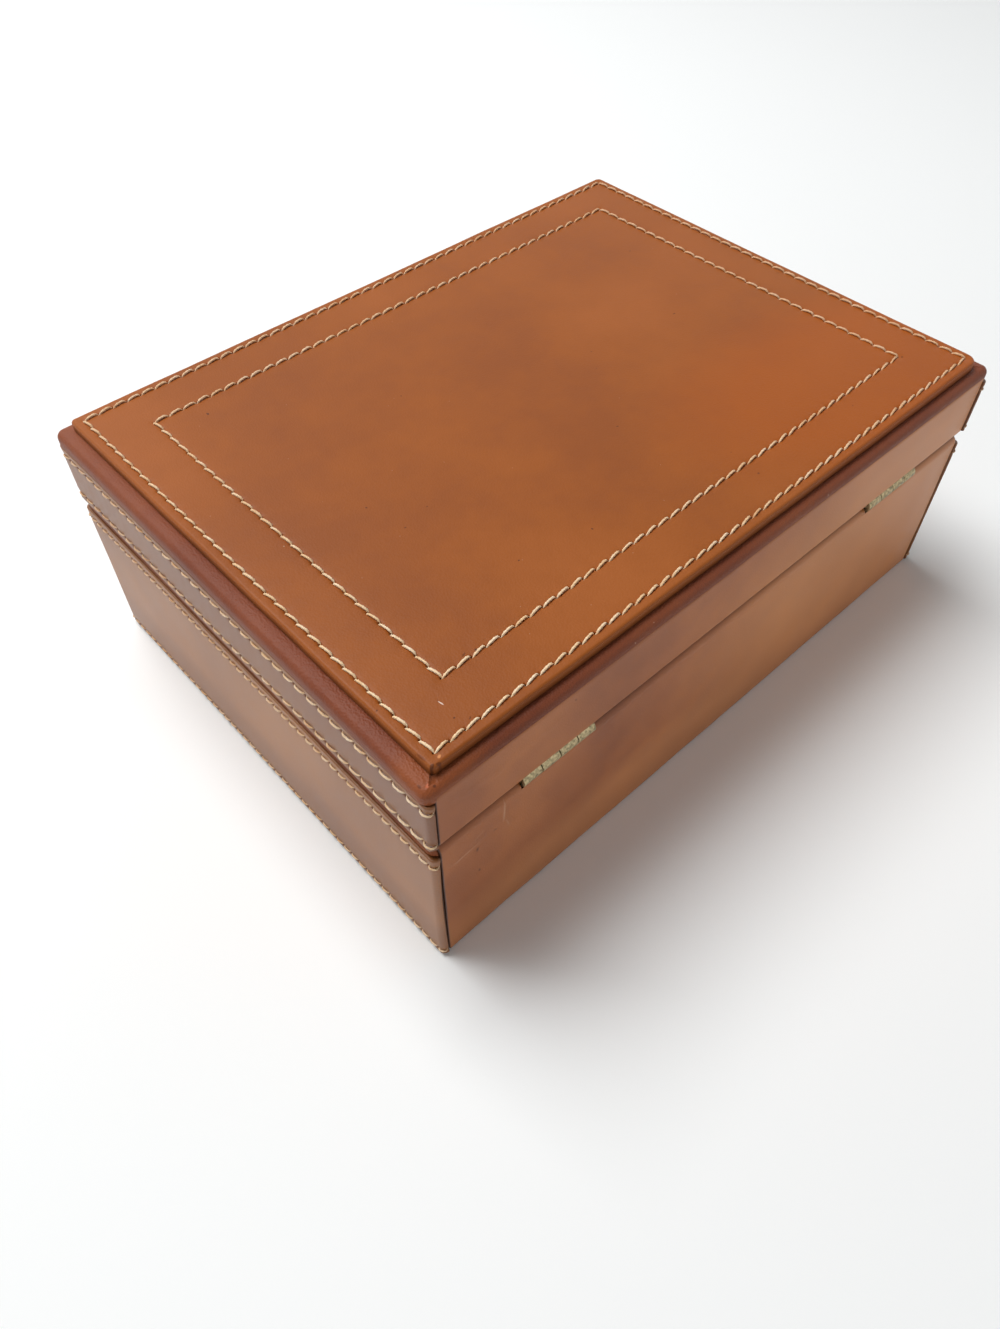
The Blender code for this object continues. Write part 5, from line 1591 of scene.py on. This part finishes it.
def make_screw_tree():
    tree, given = new_tree("wood_screws", "Points", SCREW_INPUTS, "Screws Made")
    model = add(tree, "GeometryNodeObjectInfo", {"Object": given["Screw"]}).outputs["Geometry"]
    values = {2: 0.0, 3: math.pi, "Seed": given["Seed"]}
    turn = add(tree, "FunctionNodeRandomValue", values, data_type="FLOAT").outputs[1]
    over = add(tree, "GeometryNodeSwitch", given["Head Down"], 0.0, math.pi, input_type="FLOAT")
    angles = add(tree, "ShaderNodeCombineXYZ", {"X": over, "Z": turn})
    values = {"Points": given["Points"], "Instance": model, "Rotation": angles}
    mesh = add(tree, "GeometryNodeInstanceOnPoints", values)
    mesh = add(tree, "GeometryNodeRealizeInstances", mesh)
    mesh = add(tree, "GeometryNodeSetMaterial", {"Geometry": mesh, "Material": given["Metal"]})
    add(tree, "NodeGroupOutput", mesh)
    return tree


def drive_screws(name, places, head_down, seed, body, nodes, metal):
    cloud = polyline(name + "_points", places)
    values = {"Screw": screw, "Head Down": head_down, "Seed": seed, "Metal": metal}
    finish_piece(show(name, run_tree(screw_tree, cloud, values), metal), nodes, body)
    print(name, len(places), "screws")


screw_tree = make_screw_tree()
for body, head_down in (("base", False), ("lid", True)):
    sunk = Vector((0, 0, HEAD_SUNK if head_down else -HEAD_SUNK))
    places = [place + sunk for place in screw_places[body]]
    nodes = [f"{side}_hinge_{body}_screw_{n}" for side in ("left", "right") for n in (1, 2)]
    drive_screws(f"{body}_hinge_screws", places, head_down, 5, body, nodes, aged_brass)

# %% [markdown]
# ## The wooden carcass
# Under the leather is a box of plain boards, glued and sanded. Nobody sees it in the finished box, so
# the solid model's shapes are kept as they are. The wood still gets its own material: growth rings are
# stretched noise along the board, and its dark brown stain also paints the shade in a gap.


# %% Poplar, stained dark to paint gap shade
def stained_poplar():
    """Planed poplar, stained dark brown that also paints gap shade: long grain lines, a dull open surface."""
    material, tree, shader = new_material("stained_poplar", {"IOR": 1.5})
    place = add(tree, "ShaderNodeTexCoord").outputs["Object"]
    along = add(tree, "ShaderNodeMapping", {"Vector": place, "Scale": (0.06, 1.0, 1.0)})
    rings = add(tree, NOISE, {"Vector": along, "Scale": per_mm(3.0), "Detail": 4.0, "Roughness": 0.6})
    pores = add(tree, NOISE, {"Vector": along, "Scale": per_mm(0.5), "Detail": 2.0, "Roughness": 0.7})
    colour = add(tree, RAMP, rings, stops=((0.35, "#4A2C1A"), (0.50, "#5E3A22"), (0.65, "#6E4729")))
    colour = stained(tree, colour, pores, ((0.35, 0.5), (0.5, 0.0)), "#2C170C")
    rough = add(tree, MAP_RANGE, {"Value": rings, "To Min": 0.55, "To Max": 0.75})
    relief = add(tree, BUMP, {"Height": pores, "Distance": 0.08 * MM, "Strength": 0.5})
    feed(tree, shader, {"Base Color": colour, "Roughness": rough, "Normal": relief})
    return material


def refinish(material, *names):
    """Gives solids that keep their shape a finished material."""
    for name in names:
        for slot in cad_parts[name].material_slots:
            slot.link = "OBJECT"
            slot.material = material


poplar = stained_poplar()
sides = ("front", "back", "left", "right")
for body in ("base", "lid"):
    refinish(poplar, *[f"{body}_{side}_board" for side in sides])
refinish(poplar, "base_floor_board", "lid_top_board")
refinish(lock_steel, "lock_case", "lock_cover_plate", "lock_bolt")
refinish(aged_brass, "strike_plate")
print("boards and lock refinished")

# %% [markdown]
# ## Suede and felt
# The inside is lined with pigskin suede pasted on card. Its nap lies in patches that were brushed one
# way or another, which shows as cloudy light and dark, and its short fibres catch light at a flat angle,
# which a sheen gives. The underside is covered in pressed wool felt, which is duller and has loose fibres.


# %% Suede and felt
def napped(name, brushed, middle_tone, shaded_tone, sheen, fibre_mm, patch_mm):
    """A napped skin or pressed felt: no gloss, a soft sheen and a fibrous surface."""
    even = {"Roughness": 0.95, "Specular IOR Level": 0.2, "Sheen Weight": sheen}
    material, tree, shader = new_material(name, {**even, "Sheen Roughness": 0.5, "Sheen Tint": brushed})
    place = add(tree, "ShaderNodeTexCoord").outputs["Object"]
    values = {"Vector": place, "Rotation": (0.3, 0.2, 0.6), "Scale": (1.0, 0.45, 1.0)}
    strokes = add(tree, "ShaderNodeMapping", values)
    values = {"Vector": strokes, "Scale": per_mm(patch_mm), "Detail": 3.0, "Roughness": 0.55}
    patches = add(tree, NOISE, values)
    values = {"Vector": place, "Scale": per_mm(fibre_mm), "Detail": 3.0, "Roughness": 0.8}
    fibres = add(tree, NOISE, values)
    colour = add(tree, RAMP, patches, stops=((0.30, shaded_tone), (0.50, middle_tone), (0.70, brushed)))
    colour = stained(tree, colour, fibres, ((0.35, 0.35), (0.55, 0.0)), shaded_tone)
    colour = stained(tree, colour, fibres, ((0.60, 0.0), (0.75, 0.35)), brushed)
    relief = add(tree, BUMP, {"Height": fibres, "Distance": 0.12 * MM, "Strength": 0.7})
    feed(tree, shader, {"Base Color": colour, "Normal": relief})
    return material


tan_suede = napped("tan_pigskin_suede", "#B0835A", "#A5784F", "#976A45", 0.25, 0.35, 22.0)
brown_felt = napped("brown_pressed_felt", "#4A2E20", "#3A2318", "#2A1810", 0.10, 0.5, 9.0)
refinish(brown_felt, "base_underside_cover")
print(len(bpy.data.materials), "materials in all")

# %% [markdown]
# ## Linings and tray boards
# A tray of this kind is made of thin boards, each wrapped in suede that turns round its edges, so no
# edge is sharp. A wrapped board is a box with a large bevel, and its faces get a slight unevenness from
# the paste. The linings of the walls are strips that end in a rounded lip.

# %% Wrapped boards
WRAP_ROUND = 0.9 * MM
WRAP_STEPS = 4
WRAP_CELL = 9.0 * MM
MOST_ROUND = 0.45
PASTE_UNEVEN = 0.07


def wrapped_board(node, body):
    """A board with suede round its edges. Its place is the seed of its own unevenness."""
    low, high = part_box(node)
    size = high - low
    board = block("suede_" + node, low, high)
    bm = bmesh.new()
    bm.from_mesh(board.data)
    edge = min(WRAP_ROUND, min(size) * MOST_ROUND)
    bmesh.ops.bevel(bm, geom=bm.edges, offset=edge, segments=WRAP_STEPS, profile=0.5, affect="EDGES")
    for axis in range(3):
        count = int(size[axis] / WRAP_CELL)
        direction = Vector([1.0 if i == axis else 0.0 for i in range(3)])
        for number in range(1, count):
            cut = Vector(low)
            cut[axis] = low[axis] + size[axis] * number / count
            geometry = bm.verts[:] + bm.edges[:] + bm.faces[:]
            bmesh.ops.bisect_plane(bm, geom=geometry, plane_co=cut, plane_no=direction)
    bm.normal_update()
    for vert in bm.verts:
        vert.co += vert.normal * (waves(vert.co, 24.0, PASTE_UNEVEN, low.x + high.y) - PASTE_UNEVEN * MM)
    bm.to_mesh(board.data)
    bm.free()
    board.data.shade_smooth()
    finish_piece(board, node, body, tan_suede)


for node in ("left_tray_ledge", "right_tray_ledge"):
    wrapped_board(node, "base")
tray_boards = ["tray_floor", "tray_long_divider", "tray_cross_divider"]
tray_boards += [f"tray_{side}_wall" for side in sides]
for node in tray_boards:
    wrapped_board(node, "tray")
print(len(tray_boards), "tray boards and two ledges")

# %% Wall linings
LINING_THICKNESS = 1.5 * MM
LIP_STEPS = 8


def wall_lining(body, rise):
    """A strip of suede round the walls, with a rounded lip at the parting."""
    node = f"{body}_wall_lining"
    low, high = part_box(node)
    lip, foot = (high.z, low.z) if rise > 0 else (low.z, high.z)
    outer = half_length - high.x
    inner = outer + LINING_THICKNESS
    half = LINING_THICKNESS / 2
    turn = [math.pi * i / LIP_STEPS for i in range(LIP_STEPS + 1)]
    section = [(outer, foot), (outer, (foot + lip) / 2)]
    section += [(outer + half - half * math.cos(a), lip - rise * (half - half * math.sin(a))) for a in turn]
    section += [(inner, (foot + lip) / 2), (inner, foot)]
    make_rolled("suede_" + node, node, body, section, 0.0, tan_suede, 0.04)


wall_lining("base", 1)
wall_lining("lid", -1)
print("two wall linings")

# %% [markdown]
# ## Pads
# The floor and the lid have a thin pad of wadding under the suede, glued along its rim. The suede was
# cut a little larger than the pad, so it swells between the glued edges and pulls small folds into the
# corners. Cloth simulation gives just that: a flat skin with its rim pinned is blown up from inside, and
# its heights are then scaled to the pad's real thickness. The tray's ring pad is five firm foam rolls
# side by side. They keep a plain round section, so a formula gives their heights.

# %% Blowing up a skin
PAD_CELL = 5.0 * MM
PAD_FRAMES = 20
FIRST_RISE = 0.4 * MM
CROWN_POWER = 6


def evenly(start, end, size):
    """Places from start to end, about this size apart."""
    count = max(2, round((end - start) / size))
    return [start + (end - start) * i / count for i in range(count + 1)]


def crowned(x, y, xs, ys):
    """A plain crown, 0 at the rim and 1 in the middle, which the skin starts from."""
    across = (2 * x - xs[0] - xs[-1]) / (xs[-1] - xs[0])
    along = (2 * y - ys[0] - ys[-1]) / (ys[-1] - ys[0])
    return math.sqrt(max(0.0, (1 - across**CROWN_POWER) * (1 - along**CROWN_POWER)))


def blown_heights(name, xs, ys):
    """How far a pinned skin rises at each grid point, from 0 to 1."""
    start = [[crowned(x, y, xs, ys) for x in xs] for y in ys]
    width, depth = len(xs), len(ys)
    points = [(x, y, FIRST_RISE * rise) for y, line in zip(ys, start) for x, rise in zip(xs, line)]
    faces = []
    for row in range(depth - 1):
        for first in range(row * width, row * width + width - 1):
            faces.append((first, first + 1, first + 1 + width, first + width))
    mesh = bpy.data.meshes.new(name)
    mesh.from_pydata(points, [], faces)
    skin = show(name, mesh)
    rim = [i for i in range(width * depth) if i % width in (0, width - 1) or i // width in (0, depth - 1)]
    skin.vertex_groups.new(name="rim").add(rim, 1.0, "REPLACE")
    cloth = skin.modifiers.new("suede", "CLOTH").settings
    cloth.quality = 6
    cloth.use_pressure = True
    cloth.uniform_pressure_force = 4.0
    cloth.shrink_min = -0.02
    cloth.vertex_group_mass = "rim"
    cloth.bending_stiffness = 0.05
    cloth.effector_weights.gravity = 0.0
    for number in range(1, PAD_FRAMES + 1):
        bpy.context.scene.frame_set(number)
    blown = kept_mesh(skin)
    heights = [abs(vert.co.z) for vert in blown.vertices]
    bpy.data.meshes.remove(blown)
    bpy.context.scene.frame_set(1)
    top = max(heights)
    print(name, "rose", round(top / MM, 2), "mm before it was scaled")
    return [[heights[row * width + column] / top for column in range(width)] for row in range(depth)]


# %% Floor pad and lid pad
PAD_RIM = 0.9 * MM
RIM_MOST = 0.4
UNDER_INSET = 0.4 * MM


def make_pad(name, node, body, up, xs, ys, rise):
    """A closed pad with a flat back, a rounded rim and a face that swells by its rise, from 0 to 1."""
    low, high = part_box(node)
    back = low.z if up > 0 else high.z
    thick = high.z - low.z
    rim = min(PAD_RIM, RIM_MOST * thick)
    bm = bmesh.new()

    def layer(inset, height_at):
        """A grid of points whose outermost lines are drawn in by the inset."""
        grid = []
        for row, y in enumerate(ys):
            held_y = max(ys[0] + inset, min(ys[-1] - inset, y))
            line = []
            for column, x in enumerate(xs):
                held_x = max(xs[0] + inset, min(xs[-1] - inset, x))
                line.append(bm.verts.new((held_x, held_y, back + up * height_at(row, column))))
            grid.append(line)
        return grid

    def outline(grid):
        ends = [line[-1] for line in grid[1:-1]]
        return grid[0] + ends + grid[-1][::-1] + [line[0] for line in grid[-2:0:-1]]

    under = layer(UNDER_INSET, lambda row, column: 0.0)
    over = layer(0.4 * rim, lambda row, column: 1.2 * rim + (thick - 1.2 * rim) * rise[row][column])
    for grid in (under, over):
        for first, second in zip(grid, grid[1:]):
            for a, b, c, d in zip(first, first[1:], second[1:], second):
                bm.faces.new((a, b, c, d))
    loop = outline([[(x, y) for x in xs] for y in ys])
    side = [bm.verts.new((x, y, back + up * 0.6 * rim)) for x, y in loop]
    join_loops(bm, outline(under), side)
    join_loops(bm, side, outline(over))
    bmesh.ops.recalc_face_normals(bm, faces=bm.faces)
    pad = built(name, bm, tan_suede)
    finer = pad.modifiers.new("finer", "SUBSURF")
    finer.levels = finer.render_levels = 1
    pad = applied(pad)
    pad.data.shade_smooth()
    finish_piece(pad, node, body)


for name, node, body, up, fill in (
    ("floor_pad", "base_floor_lining", "base", 1, 0.5),
    ("lid_pad", "lid_top_pad", "lid", -1, 0.6),
):
    low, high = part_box(node)
    xs, ys = evenly(low.x, high.x, PAD_CELL), evenly(low.y, high.y, PAD_CELL)
    make_pad(name, node, body, up, xs, ys, blown_heights(name, xs, ys))

# %% Ring rolls
ROLLS = 5
ROLL_STEPS = 12
ROLL_END = 4.0 * MM
VALLEY = 0.40


def rolled_heights(xs, ys):
    """Five foam rolls side by side, drawn in at both ends."""
    heights = []
    for number in range(len(ys)):
        circle = math.sin(math.pi * (number % ROLL_STEPS) / ROLL_STEPS)
        line = []
        for x in xs:
            from_end = min(x - xs[0], xs[-1] - x, ROLL_END) / ROLL_END
            ends = 0.5 + 0.5 * math.sqrt(1 - (1 - from_end) ** 2)
            line.append(ends * (VALLEY + (1 - VALLEY) * circle))
        heights.append(line)
    return heights


low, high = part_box("ring_pad")
pitch = (high.y - low.y) / ROLLS
turns = [math.cos(math.pi * i / ROLL_STEPS) for i in range(ROLL_STEPS)]
ys = [low.y + pitch * (roll + 0.5 - 0.5 * turn) for roll in range(ROLLS) for turn in turns] + [high.y]
ends = [part * ROLL_END for part in (0.0, 0.15, 0.4, 0.7)]
xs = [low.x + end for end in ends] + evenly(low.x + ROLL_END, high.x - ROLL_END, PAD_CELL)
xs += [high.x - end for end in reversed(ends)]
make_pad("ring_rolls", "ring_pad", "tray", 1, xs, ys, rolled_heights(xs, ys))
print("two pads and", ROLLS, "ring rolls")

# %% [markdown]
# ## Pins, escutcheon and key
# A pin, an escutcheon and a key's shank are turned on a lathe, so each is a profile spun round its axis.
# The key's bow is a ring of wire brazed to the shank, and its bit is a small flag with a slot filed for
# the ward. The parts of the key are joined into one solid, because the real joint is solid too.


# %% Pins
PIN_EASE = 0.25 * MM


def laid_along_y(piece, place):
    """Turns a piece made about Z so that its axis points to -Y, and puts it in its place."""
    piece.data.transform(Matrix.Translation(place) @ Matrix.Rotation(math.pi / 2, 4, "X"))
    return piece


for side in ("left", "right"):
    low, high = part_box(f"{side}_hinge_pin")
    radius, half = (high.z - low.z) / 2, (high.x - low.x) / 2
    domed, dome = radius - 2 * PIN_EASE, 0.1 * PIN_EASE
    profile = [(0.0, half), (domed, half - dome), (radius, half - PIN_EASE), (radius, PIN_EASE - half)]
    profile += [(domed, dome - half), (0.0, -half)]
    pin = turned(f"{side}_brass_pin", profile, 40)
    pin.data.transform(Matrix.Translation((low + high) / 2) @ Matrix.Rotation(math.pi / 2, 4, "Y"))
    finish_piece(round_shaded(pin, 40), f"{side}_hinge_pin", "base", aged_brass)
print("two hinge pins")

# %% Escutcheon
low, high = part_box("keyhole_escutcheon")
thick, radius = high.y - low.y, (high.x - low.x) / 2
profile = [(0.0, 0.0), (radius, 0.0), (radius, 0.25 * thick), (radius - 0.3 * MM, 0.62 * thick)]
profile += [(radius - 0.9 * MM, 0.70 * thick), (radius - 1.2 * MM, 0.62 * thick)]
profile += [(radius - 1.7 * MM, 0.72 * thick), (radius * 0.5, 0.95 * thick), (0.0, thick)]
plate = laid_along_y(turned("brass_escutcheon", profile, 64), keyhole_centre)
plate = softened(combined(plate, keyhole_cutters(0.0), "DIFFERENCE"), 0.06 * MM)
finish_piece(plate, "keyhole_escutcheon", "base", aged_brass)
print("escutcheon", round(2 * radius / MM, 1), "mm across")

# %% Parts of the key
KEY_SHANK = 1.4 * MM
KEY_COLLAR = 2.1 * MM
KEY_BEAD = KEY_SHANK + 0.45 * MM
KEY_TIP = 0.35 * MM
BOW_RADIUS = 6.0 * MM
BOW_WIRE = 1.3 * MM
BOW_BRAZED = 0.2 * MM
BIT_REACH = 3.6 * MM
BIT_WIDTH = 1.6 * MM
WARD_SLOT = 0.5 * MM
KEY_LEAN = -math.pi / 4


def key_profile(shoulder):
    """The shank's tip, bead and collar as (radius, height), up to the shoulder under the bow."""
    profile = [(0.0, 0.0), (KEY_SHANK - KEY_TIP, 0.0), (KEY_SHANK, KEY_TIP)]
    for radius, below_mm in (
        (KEY_SHANK, 5.0),
        (KEY_BEAD, 4.7),
        (KEY_BEAD, 4.3),
        (KEY_SHANK, 4.0),
        (KEY_SHANK, 2.6),
        (KEY_COLLAR, 2.2),
        (KEY_COLLAR, 1.2),
        (KEY_SHANK, 0.8),
        (KEY_SHANK, 0.0),
        (0.0, 0.0),
    ):
        profile.append((radius, shoulder - below_mm * MM))
    return profile


def ring_of_wire(name, radius, wire):
    """A ring in the XZ plane."""
    bm = bmesh.new()
    circle = bmesh.ops.create_circle(bm, segments=16, radius=wire)["verts"]
    bmesh.ops.transform(bm, matrix=Matrix.Translation((radius, 0, 0)), verts=circle)
    whole = {"angle": 2 * math.pi, "steps": 48, "use_merge": True}
    bmesh.ops.spin(bm, geom=bm.verts[:] + bm.edges[:], cent=(0, 0, 0), axis=(0, 1, 0), **whole)
    bmesh.ops.remove_doubles(bm, verts=bm.verts, dist=MERGE)
    bmesh.ops.recalc_face_normals(bm, faces=bm.faces)
    return built(name, bm)


# %% Key
def make_key():
    """Made upright about Z with its bit towards +X, then turned to its place."""
    low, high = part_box("key")
    bolt_low, bolt_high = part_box("lock_bolt")
    bow_centre = high.y - low.y - BOW_RADIUS - BOW_WIRE
    shank = turned("brass_key", key_profile(bow_centre - BOW_RADIUS + BOW_BRAZED), 40)
    bow = ring_of_wire("bow", BOW_RADIUS, BOW_WIRE)
    bow.data.transform(Matrix.Translation((0, 0, bow_centre)))
    bit_low, bit_high = high.y - bolt_high.y, high.y - bolt_low.y
    bit = block("bit", (0.0, -BIT_WIDTH / 2, bit_low), (BIT_REACH, BIT_WIDTH / 2, bit_high))
    middle_z = (bit_low + bit_high) / 2
    ward_low = (0.6 * BIT_REACH, -MM, middle_z - WARD_SLOT / 2)
    ward = block("ward", ward_low, (2 * BIT_REACH, MM, middle_z + WARD_SLOT / 2))
    bit = combined(bit, [ward], "DIFFERENCE")
    key = softened(combined(shank, [bow, bit], "UNION"), 0.08 * MM, 50)
    key.data.transform(Matrix.Rotation(-math.pi / 2 - KEY_LEAN, 4, "Z"))
    laid_along_y(key, Vector((0, high.y, (low.z + high.z) / 2)))
    return finish_piece(key, "key", "key", aged_brass)


key = make_key()
print("key", [round(size / MM, 1) for size in key.dimensions])

# %% Lock screws
SCREW_FROM_END = 2.0 * MM
SCREW_PROUD = 0.08 * MM
plate_face, strike_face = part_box("lock_case")[1].z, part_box("lid_edge_leather")[0].z
for name, node, body, head, head_down, metal, slot in (
    ("lock_plate_screws", "lock_case", "base", plate_face + SCREW_PROUD, False, aged_brass, "aged_brass"),
    ("strike_plate_screws", "strike_plate", "lid", strike_face - SCREW_PROUD, True, lock_steel, "lock_steel"),
):
    low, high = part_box(node)
    middle_y = (low.y + high.y) / 2
    places = [Vector((x, middle_y, head)) for x in (low.x + SCREW_FROM_END, high.x - SCREW_FROM_END)]
    drive_screws(name, places, head_down, 9, body, [], metal)
bpy.data.objects.remove(screw, do_unlink=True)
